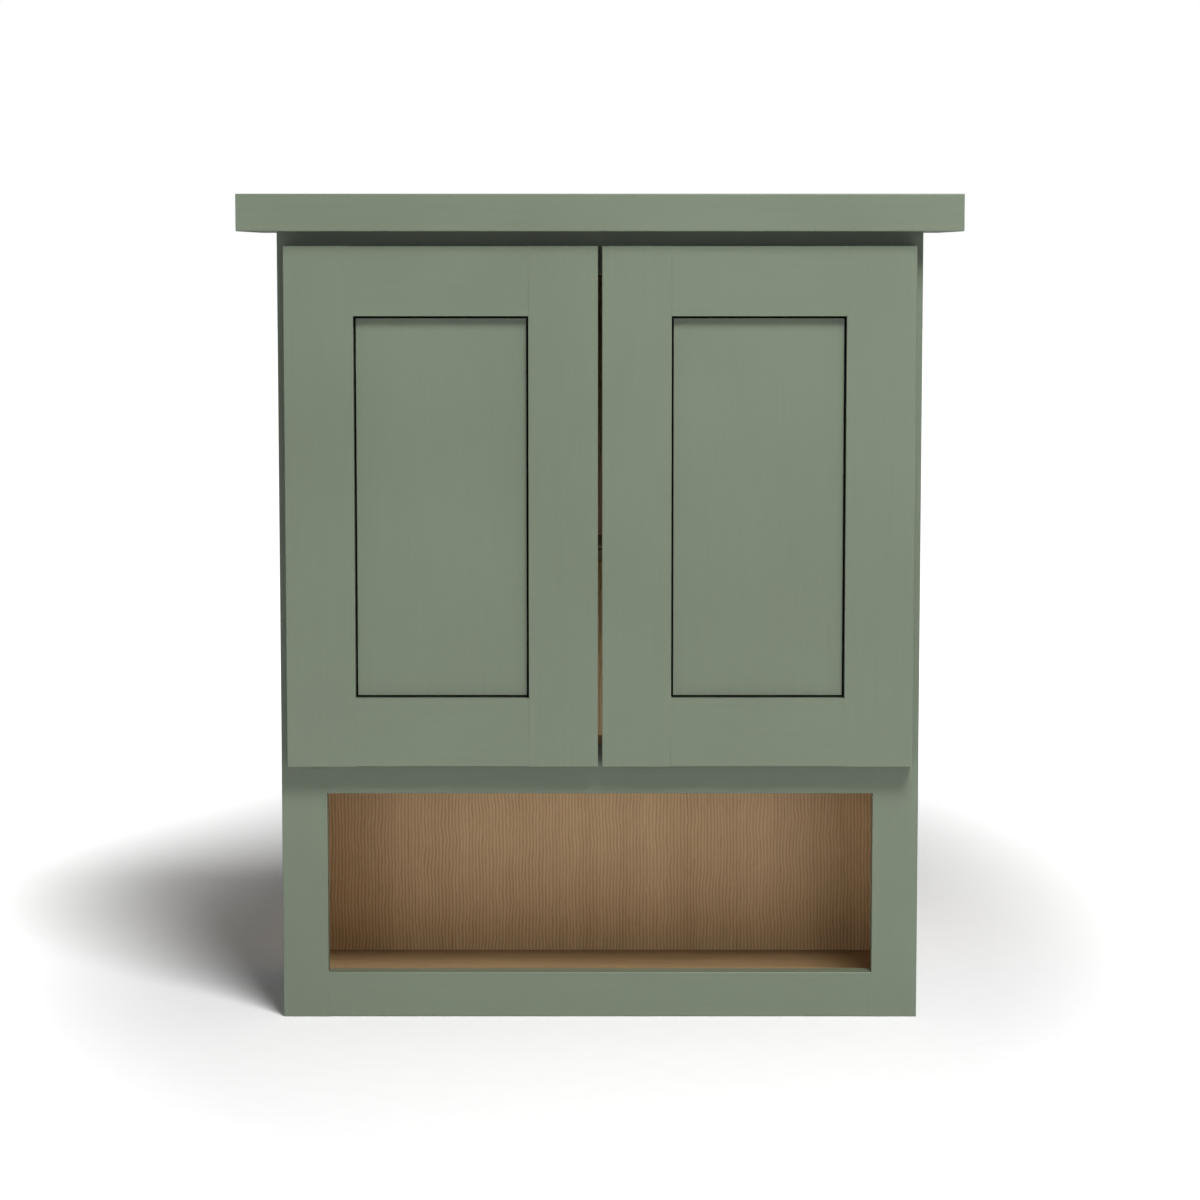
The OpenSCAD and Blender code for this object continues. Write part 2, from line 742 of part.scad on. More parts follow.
module right_door_hinge_stile() mirror([1, 0, 0]) left_door_hinge_stile();
module right_door_free_stile() mirror([1, 0, 0]) left_door_free_stile();
module right_door_top_rail() mirror([1, 0, 0]) left_door_top_rail();
module right_door_bottom_rail() mirror([1, 0, 0]) left_door_bottom_rail();
module right_door_panel() mirror([1, 0, 0]) left_door_panel();
module right_door_bumpers() mirror([1, 0, 0]) left_door_bumpers();
module right_upper_hinge_cup() mirror([1, 0, 0]) left_upper_hinge_cup();
module right_lower_hinge_cup() mirror([1, 0, 0]) left_lower_hinge_cup();
module right_upper_hinge_arm() mirror([1, 0, 0]) left_upper_hinge_arm();
module right_lower_hinge_arm() mirror([1, 0, 0]) left_lower_hinge_arm();
module right_hinge_pins() mirror([1, 0, 0]) left_hinge_pins();
module right_cup_screws() mirror([1, 0, 0]) left_cup_screws();
module right_arm_screws() mirror([1, 0, 0]) left_arm_screws();

left_side_panel();
right_side_panel();
top_panel();
divider_panel();
bottom_panel();
back_panel();
upper_hanging_rail();
middle_hanging_rail();
lower_hanging_rail();
adjustable_shelf();
shelf_pins();
left_frame_stile();
right_frame_stile();
top_frame_rail();
middle_frame_rail();
bottom_frame_rail();
frame_dowels();
crown_front();
crown_left_return();
crown_right_return();
crown_rear_rail();
cap_panel();
crown_screws();
left_door_hinge_stile();
left_door_free_stile();
left_door_top_rail();
left_door_bottom_rail();
left_door_panel();
left_door_bumpers();
left_upper_hinge_cup();
left_lower_hinge_cup();
left_upper_hinge_arm();
left_lower_hinge_arm();
left_hinge_pins();
left_cup_screws();
left_arm_screws();
right_door_hinge_stile();
right_door_free_stile();
right_door_top_rail();
right_door_bottom_rail();
right_door_panel();
right_door_bumpers();
right_upper_hinge_cup();
right_lower_hinge_cup();
right_upper_hinge_arm();
right_lower_hinge_arm();
right_hinge_pins();
right_cup_screws();
right_arm_screws();
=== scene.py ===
# %% [markdown]
# # A sage green wall cabinet for a bathroom
# The real object is joiner's work: a case of veneered board behind a solid wood face frame, two
# framed doors that lie over it, an open niche below them and a flat crown on top. A CAD program has
# already made every board and hinge at its true size, in metres, with the centre of the wall screws
# as the origin. Blender gives them eased edges, real finishes and light. This first cell loads the
# boards as they are, so that nothing has to be placed by eye.

# %% Load the boards and measure them
import json
import math

import bmesh
import bpy
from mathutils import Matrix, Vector

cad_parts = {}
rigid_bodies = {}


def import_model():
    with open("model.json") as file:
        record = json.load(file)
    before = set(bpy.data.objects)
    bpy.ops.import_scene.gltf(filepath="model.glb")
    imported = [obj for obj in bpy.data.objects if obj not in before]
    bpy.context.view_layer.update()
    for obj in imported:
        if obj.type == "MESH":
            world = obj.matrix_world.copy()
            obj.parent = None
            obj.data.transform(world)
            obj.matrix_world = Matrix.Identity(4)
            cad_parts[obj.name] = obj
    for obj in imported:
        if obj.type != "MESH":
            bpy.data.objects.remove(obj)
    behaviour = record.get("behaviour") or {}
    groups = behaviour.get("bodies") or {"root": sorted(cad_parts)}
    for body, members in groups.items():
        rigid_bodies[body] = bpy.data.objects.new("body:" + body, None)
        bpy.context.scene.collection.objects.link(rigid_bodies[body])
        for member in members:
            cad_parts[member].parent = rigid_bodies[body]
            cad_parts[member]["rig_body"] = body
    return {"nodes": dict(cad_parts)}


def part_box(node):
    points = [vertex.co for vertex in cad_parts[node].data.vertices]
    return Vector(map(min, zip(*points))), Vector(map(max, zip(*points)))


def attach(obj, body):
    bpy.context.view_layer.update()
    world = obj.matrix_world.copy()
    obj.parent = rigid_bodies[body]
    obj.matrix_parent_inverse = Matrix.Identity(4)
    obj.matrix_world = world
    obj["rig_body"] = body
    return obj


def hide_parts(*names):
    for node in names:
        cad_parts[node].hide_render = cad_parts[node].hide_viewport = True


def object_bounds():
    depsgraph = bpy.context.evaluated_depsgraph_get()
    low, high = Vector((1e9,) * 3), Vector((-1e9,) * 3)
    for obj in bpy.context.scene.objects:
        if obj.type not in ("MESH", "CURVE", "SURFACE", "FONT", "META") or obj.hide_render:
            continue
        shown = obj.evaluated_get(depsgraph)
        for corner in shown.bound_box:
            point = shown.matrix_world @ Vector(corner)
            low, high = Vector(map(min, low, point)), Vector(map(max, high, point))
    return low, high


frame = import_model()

MM = 0.001
nodes = frame["nodes"]
cad_low, cad_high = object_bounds()
print(len(nodes), "boards and fittings, overall", [round(v, 4) for v in cad_high - cad_low])

# %% [markdown]
# ## The camera
# The photograph looks straight at the doors from a little above the wall screws, from so far away
# that upright lines stay upright. A long lens does that. The camera tilts down by almost six
# degrees, which is why the niche floor and the top of the bottom rail can be seen. It could be moved
# about by eye until it looks right. Here its height, distance, tilt and lens were worked out from the
# corners of the crown and the doors, because then every other edge falls into its place too.

# %% Place the camera
def new_object(name, data):
    """An object in the scene that shows a mesh, a lamp or a camera."""
    thing = bpy.data.objects.new(name, data)
    bpy.context.scene.collection.objects.link(thing)
    return thing


camera_height = 0.2323
camera_distance = 3.4275
camera_tilt = 5.82
lens_length = 102.08
film_width = 36
camera_data = bpy.data.cameras.new("camera")
camera_data.lens = lens_length
camera_data.sensor_width = film_width
camera = new_object("camera", camera_data)
camera.location = (0, -camera_distance, camera_height)
camera.rotation_euler = (math.radians(90 - camera_tilt), 0, 0)
bpy.context.scene.camera = camera
print("camera", tuple(camera.location), "lens", lens_length, "mm")

# %% [markdown]
# ## Small tools for finishes
# Colours are written the way a paint shop writes them, as sRGB hex values. Light adds up in linear
# numbers, so one function turns the first into the second. Another adds one node to a tree, with its
# settings and its links, and serves shader trees and geometry trees alike. Nodes could be placed by
# hand in the editor too, but a script makes the same tree every time. Natural surfaces are mostly
# several noises laid over each other, so the last one adds up nodes by weight. A noise runs from 0
# to 1, but nearly all of it lies in the middle, and that span has a name.

# %% Colour and node helpers
NOISE_SPAN = {"From Min": 0.3, "From Max": 0.7}


def linear(hex_colour):
    """The linear RGBA value of an sRGB hex colour."""
    channels = [int(hex_colour[i:i + 2], 16) / 255 for i in (1, 3, 5)]
    return [c / 12.92 if c <= 0.04045 else ((c + 0.055) / 1.055) ** 2.4 for c in channels] + [1.0]


def add(tree, kind, inputs=None, **settings):
    """Adds a node. Inputs go by name or number. Each is a value, another node's output, or a node,
    which then gives its first output in use."""
    node = tree.nodes.new(kind)
    for name, value in settings.items():
        setattr(node, name, value)
    for key, value in (inputs or {}).items():
        if isinstance(value, bpy.types.Node):
            value = next(output for output in value.outputs if output.enabled)
        if isinstance(value, bpy.types.NodeSocket):
            tree.links.new(value, node.inputs[key])
        else:
            node.inputs[key].default_value = value
    return node


def start_material(name):
    """A new node material, its tree, and a vector with the place on the piece in metres."""
    material = bpy.data.materials.new(name)
    material.use_nodes = True
    material.node_tree.nodes.clear()
    place = add(material.node_tree, "ShaderNodeTexCoord").outputs["Object"]
    return material, material.node_tree, place


def sum_of(tree, terms, start=0.0):
    """Adds up (node, weight) pairs."""
    total = start
    for term, weight in terms:
        total = add(tree, "ShaderNodeMath", {0: term, 1: weight, 2: total}, operation="MULTIPLY_ADD")
    return total


print("#808080 in linear light:", round(linear("#808080")[0], 3))

# %% [markdown]
# ## Satin sage paint
# The doors, the face frame, the crown and the outer sides are sprayed with a water-based satin
# lacquer over sanded wood. Seen close, such a coat is never quite flat: it keeps a fine orange peel,
# and the grain of the board below shows through as soft ridges along its length. Its colour drifts a
# little from board to board, and at an eased edge the coat runs thin and looks paler. A picture of
# paint could be laid on, but it would repeat and show seams, so all of that comes from noise in real
# sizes. The peel is about 1 mm on the real coat, which is finer than the picture can show, so it is
# drawn at 2.4 mm. The grain needs a direction, so there is one paint for upright boards, one for
# level ones and one for the boards that run towards the wall.

# %% Make the paints
SAGE = "#636D5C"
SAGE_LIGHT = "#687361"
SAGE_THIN = "#7C8773"
UNDERCOAT = "#A9A797"
GRAIN_WIDTH = 4 * MM
PEEL_WIDTH = 2.4 * MM
DRIFT_WIDTH = 220 * MM


def paint(name, length_axis):
    """Satin lacquer over a board whose grain runs along an axis. Gives the eye a soft even sheen."""
    material, tree, place = start_material(name)
    stretch = [1.0, 1.0, 1.0]
    stretch[length_axis] = 0.05
    along = add(tree, "ShaderNodeMapping", {"Vector": place, "Scale": stretch})
    grain = add(tree, "ShaderNodeTexNoise",
                {"Vector": along, "Scale": 1 / GRAIN_WIDTH, "Detail": 3.0, "Roughness": 0.6})
    peel = add(tree, "ShaderNodeTexNoise", {"Vector": place, "Scale": 1 / PEEL_WIDTH, "Detail": 1.0})
    drift = add(tree, "ShaderNodeTexNoise", {"Vector": place, "Scale": 1 / DRIFT_WIDTH, "Detail": 2.0})
    eased = add(tree, "ShaderNodeAttribute", attribute_name="eased").outputs["Fac"]
    rub = add(tree, "ShaderNodeMapRange",
              {"Value": grain, "From Min": 0.52, "From Max": 0.68, "To Max": 0.35})
    worn = add(tree, "ShaderNodeMath", {0: eased, 1: rub}, operation="MULTIPLY")
    mottle = sum_of(tree, [(drift, 0.8), (grain, 0.35), (peel, 0.15)])
    spread = add(tree, "ShaderNodeMapRange", {"Value": mottle, "From Min": 0.45, "From Max": 0.85})
    body = add(tree, "ShaderNodeMix", {"Factor": spread, "A": linear(SAGE), "B": linear(SAGE_LIGHT)},
               data_type="RGBA")
    thin = add(tree, "ShaderNodeMath", {0: eased, 1: 0.2}, operation="MULTIPLY")
    coat = add(tree, "ShaderNodeMix", {"Factor": thin, "A": body, "B": linear(SAGE_THIN)},
               data_type="RGBA")
    colour = add(tree, "ShaderNodeMix", {"Factor": worn, "A": coat, "B": linear(UNDERCOAT)},
                 data_type="RGBA")
    sheen = sum_of(tree, [(peel, 0.5), (drift, 0.5)])
    gloss = add(tree, "ShaderNodeMapRange",
                {"Value": sheen, **NOISE_SPAN, "To Min": 0.40, "To Max": 0.50})
    relief = sum_of(tree, [(peel, 0.5), (grain, 0.5)])
    bump = add(tree, "ShaderNodeBump", {"Height": relief, "Strength": 0.55, "Distance": 0.06 * MM})
    shader = add(tree, "ShaderNodeBsdfPrincipled",
                 {"Base Color": colour, "Roughness": gloss, "IOR": 1.5, "Normal": bump,
                  "Coat Weight": 0.12, "Coat Roughness": 0.35})
    add(tree, "ShaderNodeOutputMaterial", {"Surface": shader})
    return material


X, Y, Z = 0, 1, 2
paints = {axis: paint("satin_sage_lacquer_" + word, axis)
          for axis, word in ((X, "level_boards"), (Y, "boards_towards_wall"), (Z, "upright_boards"))}
print("paints:", [m.name for m in paints.values()])

# %% [markdown]
# ## The gap round a door's panel
# A door's panel stands 2 mm clear of its frame, and the bottom of that gap is what draws the thin
# black line round it. The line could be drawn on, but the gap is real. Its bottom gets a near-black
# colour with a faint mottle, which is painted shade: it stands in for the deep shadow in the gap, so
# that the line reads black.

# %% Make the painted shade of the gap
# Painted shade: near-black colours for the gap's bottom that stand in for the deep shadow in it.
PAINTED_SHADE_DEEP = "#080908"
PAINTED_SHADE_MOTTLED = "#121411"
SHADE_MOTTLE_WIDTH = 5 * MM


def groove_painted_shade():
    """The bottom of a groove, coloured with painted shade: near black, dull and faintly mottled."""
    material, tree, place = start_material("groove_painted_black_shade")
    shade_mottle = add(tree, "ShaderNodeTexNoise", {"Vector": place, "Scale": 1 / SHADE_MOTTLE_WIDTH, "Detail": 2.0})
    spread = add(tree, "ShaderNodeMapRange", {"Value": shade_mottle, "From Min": 0.4, "From Max": 0.7})
    colour = add(tree, "ShaderNodeMix",
                 {"Factor": spread, "A": linear(PAINTED_SHADE_DEEP), "B": linear(PAINTED_SHADE_MOTTLED)},
                 data_type="RGBA")
    shader = add(tree, "ShaderNodeBsdfPrincipled",
                 {"Base Color": colour, "Roughness": 0.85, "IOR": 1.5, "Specular IOR Level": 0.2})
    add(tree, "ShaderNodeOutputMaterial", {"Surface": shader})
    return material


gap_painted_shade = groove_painted_shade()
print("gap:", gap_painted_shade.name)

# %% [markdown]
# ## Oak veneer
# The inside is veneered board with a clear satin varnish. On the shelf, the floors and the inner
# faces of the sides the veneer is plain oak: broad soft bands that follow the length, finer streaks
# in them and short dark pores, which are tiny open vessels cut along their length. The back of the
# niche is different, and it is what the eye goes to: an evenly ribbed grain, one light and one dark
# line every 3.4 mm, that sways a little on its way down. A wave texture could draw it, but its own
# distortion is hard to give a size. Here a plain sine across the width makes the ribs, and noise in
# millimetres pushes its phase about. Real pores are 0.3 mm wide, too fine for the picture, so they
# are drawn 0.8 mm wide.

# %% Make the oak
OAK_BACK = ("#9D7C56", "#CAA87A", "#E4C499", "#795A3B")
OAK_BOARD = ("#7F6649", "#9A815E", "#AF9673", "#574128")
PLAIN_FIGURE = (0.45, 0.32, 0.23)
RIBBED_FIGURE = (0.14, 0.13, 0.2)
RIB_SPACING = 3.4 * MM
SWAY_WIDTH = 38 * MM


def oak(name, length_axis, tones, figure, ribs=0.0):
    """Oak veneer. figure weighs its bands, streaks and fibres, ribs is how strong even ribs are."""
    dark, middle, light, pore = tones
    sway_reach = (6.0 if ribs else 3.0) * MM
    material, tree, place = start_material(name)
    sway = add(tree, "ShaderNodeTexNoise", {"Vector": place, "Scale": 1 / SWAY_WIDTH, "Detail": 2.0})
    bent = add(tree, "ShaderNodeVectorMath",
               {0: sway.outputs["Color"], 1: [sway_reach] * 3, 2: place},
               operation="MULTIPLY_ADD")

    def grain(width, length, detail, seed):
        """Noise that is width mm across the grain and length mm along it."""
        scale = [1 / (width * MM)] * 3
        scale[length_axis] = 1 / (length * MM)
        vector = add(tree, "ShaderNodeMapping",
                     {"Vector": bent, "Scale": scale, "Location": [seed] * 3})
        return add(tree, "ShaderNodeTexNoise",
                   {"Vector": vector, "Scale": 1.0, "Detail": detail, "Roughness": 0.55})

    layers = (grain(22, 420, 2.0, 3.1), grain(2.6, 150, 3.0, 7.7), grain(0.9, 26, 1.0, 11.3))
    tone = sum_of(tree, zip(layers, figure), (1 - sum(figure)) / 2)
    relief = sum_of(tree, [(layers[1], 0.4), (layers[2], 0.4)])
    pores = add(tree, "ShaderNodeMapRange",
                {"Value": grain(0.8, 9, 0.0, 17.9), "From Min": 0.70, "From Max": 0.78,
                 "To Max": 0.08 if ribs else 0.5})
    if ribs:
        across = add(tree, "ShaderNodeSeparateXYZ", {0: bent}).outputs["X"]
        phase = add(tree, "ShaderNodeMath", {0: across, 1: 2 * math.pi / RIB_SPACING},
                    operation="MULTIPLY")
        wave = add(tree, "ShaderNodeMath", {0: phase}, operation="SINE")
        tone = sum_of(tree, [(tone, 1.0), (wave, ribs)])
        relief = sum_of(tree, [(relief, 0.5), (wave, 0.35)])
    spread = add(tree, "ShaderNodeMapRange", {"Value": tone, **NOISE_SPAN})
    ramp = add(tree, "ShaderNodeValToRGB", {"Fac": spread})
    stops = ramp.color_ramp.elements
    stops[0].color, stops[1].color = linear(dark), linear(light)
    stops.new(0.5).color = linear(middle)
    colour = add(tree, "ShaderNodeMix", {"Factor": pores, "A": ramp, "B": linear(pore)},
                 data_type="RGBA")
    dug = sum_of(tree, [(relief, 1.0), (pores, -1.2)])
    bump = add(tree, "ShaderNodeBump", {"Height": dug, "Strength": 0.5, "Distance": 0.12 * MM})
    gloss = add(tree, "ShaderNodeMapRange",
                {"Value": layers[1], **NOISE_SPAN, "To Min": 0.42, "To Max": 0.54})
    shader = add(tree, "ShaderNodeBsdfPrincipled",
                 {"Base Color": colour, "Roughness": gloss, "IOR": 1.48, "Normal": bump})
    add(tree, "ShaderNodeOutputMaterial", {"Surface": shader})
    return material


oak_ribbed = oak("ribbed_oak_veneer_upright", Z, OAK_BACK, RIBBED_FIGURE, ribs=0.10)
oak_upright = oak("oak_veneer_upright", Z, OAK_BACK, PLAIN_FIGURE)
oak_level = oak("oak_veneer_level", X, OAK_BOARD, PLAIN_FIGURE)
print("oaks:", oak_ribbed.name, oak_upright.name, oak_level.name)

# %% [markdown]
# ## Bare woods
# The rails that the wall screws pass through are planed pine without any finish: pale, dull, with
# growth rings about 7 mm apart where the saw met them at a slant. The back panel turns its cheap side
# to the wall, a peeled veneer with wide, faint rings, and the dowels are beech, close and even. Rings
# could be cut from a whole modelled trunk, but a board shows only a slice of it. So all come from one
# recipe: a slow noise, drawn out along the board, is taken as the tree's height lines, and its sine
# gives a ring at each line. Late wood is darker and a little harder, so the rings stand up slightly.
# Real fibres are too fine for the picture, so they are drawn 1.1 mm wide.

# %% Make the bare woods
HEIGHT_LINES = 60.0
RING_SHARE = 0.12
FIBRE_WIDTH = 1.1 * MM


def bare_wood(name, length_axis, tones, ring, late_share):
    """Unfinished wood. ring is the distance of its rings in metres, late_share how dark they get."""
    early, dark = tones
    material, tree, place = start_material(name)
    stretch = [1.0, 1.0, 1.0]
    stretch[length_axis] = 0.07
    along = add(tree, "ShaderNodeMapping", {"Vector": place, "Scale": stretch})
    field = add(tree, "ShaderNodeTexNoise",
                {"Vector": along, "Scale": RING_SHARE / ring, "Detail": 1.0})
    fibre = add(tree, "ShaderNodeTexNoise",
                {"Vector": along, "Scale": 1 / FIBRE_WIDTH, "Detail": 2.0, "Roughness": 0.6})
    lines = add(tree, "ShaderNodeMath", {0: field, 1: HEIGHT_LINES}, operation="MULTIPLY")
    wave = add(tree, "ShaderNodeMath", {0: lines}, operation="SINE")
    late = add(tree, "ShaderNodeMapRange",
               {"Value": wave, "From Min": -0.3, "From Max": 1.0, "To Max": late_share})
    shade = sum_of(tree, [(late, 1.0), (fibre, 0.3)], -0.08)
    colour = add(tree, "ShaderNodeMix", {"Factor": shade, "A": linear(early), "B": linear(dark)},
                 data_type="RGBA")
    relief = sum_of(tree, [(late, 0.4), (fibre, 0.5)])
    bump = add(tree, "ShaderNodeBump", {"Height": relief, "Strength": 0.5, "Distance": 0.08 * MM})
    shader = add(tree, "ShaderNodeBsdfPrincipled",
                 {"Base Color": colour, "Roughness": 0.72, "IOR": 1.5, "Normal": bump})
    add(tree, "ShaderNodeOutputMaterial", {"Surface": shader})
    return material


pine = bare_wood("bare_planed_pine", X, ("#D6BC93", "#B98F5E"), 7 * MM, 0.7)
beech = bare_wood("bare_turned_beech", X, ("#D2B08A", "#B78B66"), 5 * MM, 0.3)
backing = bare_wood("peeled_backing_veneer", Z, ("#C6B28F", "#A98F66"), 18 * MM, 0.45)
print("bare woods:", pine.name, beech.name, backing.name)

# %% [markdown]
# ## Nickel-plated steel and clear bumpers
# Hinges are pressed from steel strip, tumbled and plated with nickel, a slightly warm metal. Tumbling
# leaves a fine even dullness, so its sheen is soft and its colour hardly changes from place to place.
# One roughness for all of it would look like plastic, so it drifts a little over a hinge's length.
# The real pits are far finer than a picture can show, so they are drawn 0.4 mm wide and very shallow.
# The door bumpers are drops of soft clear polyurethane, which light goes through.

# %% Make the metal and the bumpers' plastic
NICKEL = "#CBC7BE"
NICKEL_DULL = "#BDB9B0"
CLEAR = "#EDEFEA"
PIT_WIDTH = 0.4 * MM
CLOUD_WIDTH = 14 * MM


def nickel_plate():
    """Tumbled steel under nickel: a warm grey metal with a soft, even sheen."""
    material, tree, place = start_material("nickel_plated_steel")
    pits = add(tree, "ShaderNodeTexNoise", {"Vector": place, "Scale": 1 / PIT_WIDTH, "Detail": 2.0})
    cloud = add(tree, "ShaderNodeTexNoise", {"Vector": place, "Scale": 1 / CLOUD_WIDTH, "Detail": 1.0})
    sheen = sum_of(tree, [(pits, 0.4), (cloud, 0.6)])
    gloss = add(tree, "ShaderNodeMapRange",
                {"Value": sheen, **NOISE_SPAN, "To Min": 0.26, "To Max": 0.36})
    bump = add(tree, "ShaderNodeBump", {"Height": pits, "Strength": 0.15, "Distance": 0.01 * MM})
    colour = add(tree, "ShaderNodeMix",
                 {"Factor": cloud, "A": linear(NICKEL_DULL), "B": linear(NICKEL)}, data_type="RGBA")
    shader = add(tree, "ShaderNodeBsdfPrincipled",
                 {"Base Color": colour, "Metallic": 1.0, "Roughness": gloss, "Normal": bump})
    add(tree, "ShaderNodeOutputMaterial", {"Surface": shader})
    return material


def clear_polyurethane():
    """Cast soft plastic: glassy, with a faint haze where it was handled."""
    material, tree, place = start_material("clear_polyurethane")
    haze = add(tree, "ShaderNodeTexNoise", {"Vector": place, "Scale": 1 / (2 * MM)})
    gloss = add(tree, "ShaderNodeMapRange", {"Value": haze, "To Min": 0.12, "To Max": 0.3})
    shader = add(tree, "ShaderNodeBsdfPrincipled",
                 {"Base Color": linear(CLEAR), "Roughness": gloss, "IOR": 1.49,
                  "Transmission Weight": 0.7})
    add(tree, "ShaderNodeOutputMaterial", {"Surface": shader})
    return material


nickel = nickel_plate()
polyurethane = clear_polyurethane()
print("fittings:", nickel.name, polyurethane.name)

# %% [markdown]
# ## Boards with eased edges
# No painted board keeps a knife edge: sandpaper takes it off before the paint goes on, and a thin
# bright line shows where the light catches the rounding. Two boards that meet leave a hairline
# between their two roundings, as the doors' stiles and rails do. A Bevel modifier could round them,
# but it can't tell an outer corner from the inner one of a groove. So a copy of each CAD board is
# welded into one skin, its flat faces are joined up, and only the corners that stick out are bevelled.

# %% Weld a copy of a board
WELD_DISTANCE = 0.002 * MM
FLAT_ANGLE = math.radians(0.4)


def weld(node):
    """A copy of a CAD node's mesh with its doubles merged and its flat faces joined, as a bmesh."""
    skin = bmesh.new()
    skin.from_mesh(nodes[node].data)
    bmesh.ops.remove_doubles(skin, verts=skin.verts, dist=WELD_DISTANCE)
    bmesh.ops.dissolve_limit(skin, angle_limit=FLAT_ANGLE, use_dissolve_boundaries=False,
                             verts=skin.verts, edges=skin.edges)
    return skin


sample = weld("top_frame_rail")
print("top_frame_rail welded:", len(sample.verts), "points,", len(sample.faces), "faces")
sample.free()

# %% [markdown]
# ### Easing and finishing
# The bevel's faces are marked with a number that the paint reads, because that is where the coat is
# thin. The marks could be painted by hand, but a bevel knows its own faces. The piece then takes the
# place of its board: it stands for the same node and moves with the same body.

# %% Ease a board and put it in the CAD board's place
OUTER_CORNER = math.radians(35)


def ease(skin, width):
    """Bevels the outer corners of a welded skin and marks the new faces."""
    mark = skin.faces.layers.float.new("eased")
    corners = [e for e in skin.edges
               if len(e.link_faces) == 2 and e.calc_face_angle_signed() > OUTER_CORNER]
    made = bmesh.ops.bevel(skin, geom=corners, offset=width, offset_type="OFFSET", segments=2,
                           profile=0.5, affect="EDGES", clamp_overlap=True, loop_slide=True)
    for face in made["faces"]:
        face[mark] = 1.0
    for face in skin.faces:
        face.smooth = True
    return len(corners)


def finish_piece(name, mesh, node, finishes):
    """Turns a mesh into a piece that stands for a CAD node and moves with its body."""
    piece = new_object(name, mesh)
    for finish in finishes:
        mesh.materials.append(finish)
    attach(piece, nodes[node]["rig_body"])
    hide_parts(node)
    return piece


def eased_piece(node, width, finishes, choose=None):
    """Makes an eased copy of a board. choose gives the number of a face's finish."""
    skin = weld(node)
    count = ease(skin, width)
    for face in skin.faces:
        face.material_index = choose(face) if choose else 0
    mesh = bpy.data.meshes.new(node + "_eased")
    skin.to_mesh(mesh)
    skin.free()
    piece = finish_piece(node + "_eased", mesh, node, finishes)
    even = piece.modifiers.new("even_shading", "WEIGHTED_NORMAL")
    even.weight = 80
    return count


def ease_all(names, width, finishes, choose=None):
    """Eases several boards in the same way and says how many corners it found."""
    counts = [eased_piece(name, width, finishes, choose) for name in names]
    print(len(names), "boards eased by", round(width / MM, 2), "mm,", sum(counts), "corners")


# %% [markdown]
# ## The painted boards
# Every board gets the paint whose grain runs along it. One paint for all would be quicker, but the
# joints of a real frame show by the grain that turns there. The face frame has the finest edges, the
# doors have slightly rounder ones, and the crown, which hands and dusters touch, the roundest.

# %% Finish the face frame and the crown
SIDES = ("left", "right")
frame_easing = 0.35 * MM
crown_easing = 0.6 * MM
ease_all([s + "_frame_stile" for s in SIDES], frame_easing, [paints[Z]])
ease_all([p + "_frame_rail" for p in ("top", "middle", "bottom")], frame_easing, [paints[X]])
ease_all(["crown_front", "crown_rear_rail", "cap_panel"], crown_easing, [paints[X]])
ease_all(["crown_left_return", "crown_right_return"], crown_easing, [paints[Y]])

# %% [markdown]
# ### The doors
# A door panel has two finishes. Its field and its back are painted sage, and every other face that
# lies more than a millimetre behind the field and doesn't look to the back is a part of the gap and
# takes its painted shade. That rule could be a list of face numbers, but a list breaks as soon as a
# size changes.

# %% Finish the doors
door_easing = 0.4 * MM


def in_the_gap(face):
    """1 for the faces of a door panel in the gap round its field, which get the painted shade, 0 for
    the sage ones.
    """
    return 1 if face.normal.y < 0.5 and face.calc_center_median().y > panel_low.y + MM else 0


for side in SIDES:
    panel_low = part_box(side + "_door_panel")[0]
    ease_all([side + "_door_hinge_stile", side + "_door_free_stile"], door_easing, [paints[Z]])
    ease_all([side + "_door_top_rail", side + "_door_bottom_rail"], door_easing, [paints[X]])
    # The gap faces of the panel get the near-black painted shade of the gap's bottom.
    ease_all([side + "_door_panel"], door_easing, [paints[Z], gap_painted_shade], in_the_gap)

# %% [markdown]
# ## The case behind the frame
# The side panels are painted outside and veneered inside, and the cut edges in their grooves and pin
# holes are veneer coloured too. Each side could be split into two thin boards, but a real panel is one
# board, so a face's own direction and place say which finish it gets. The back panel shows ribbed oak
# to the front and its dull backing to the wall.

# %% Finish the case
side_low, side_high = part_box("left_side_panel")
inner_face = abs(side_high.x)
panel_depth = 12 * MM
rim = 1 * MM
side_easing = 0.35 * MM
veneer_easing = 0.2 * MM
shelf_easing = 0.3 * MM
hanging_rail_easing = 0.6 * MM


def inside_of_case(face):
    """1 for the faces of a side panel that lie inside the case, 0 for the painted ones."""
    centre = face.calc_center_median()
    inward = face.normal.x * (1 if centre.x < 0 else -1) > 0.5
    cut_edge = abs(centre.x) < inner_face + panel_depth and abs(face.normal.x) < 0.99
    on_rim = (centre.y > side_high.y - rim or centre.y < side_low.y + rim
              or centre.z > side_high.z - rim or centre.z < side_low.z + rim)
    return 1 if inward or cut_edge and not on_rim else 0


def towards_wall(face):
    """1 for the faces of the back panel that look to the wall."""
    return 1 if face.normal.y > 0.5 else 0


ease_all([s + "_side_panel" for s in SIDES], side_easing, [paints[Z], oak_upright], inside_of_case)
ease_all(["back_panel"], veneer_easing, [oak_ribbed, backing], towards_wall)
ease_all(["top_panel", "divider_panel", "bottom_panel"], veneer_easing, [oak_level])
ease_all(["adjustable_shelf"], shelf_easing, [oak_level])
ease_all([h + "_hanging_rail" for h in ("upper", "middle", "lower")], hanging_rail_easing, [pine])

# %% [markdown]
# ## Hinges and shelf pins
# Each door hangs on two cup hinges. A cup is pressed into the door's back and held by two screws
# through its ears, and a bent arm reaches from the pin inside the cup round the frame's edge to its
# own two screws. They could be modelled anew in Blender, but the CAD hinge is exact and really turns,
# so it only gets what it lacks: rounded edges, as pressed steel has, which the plating makes shine.

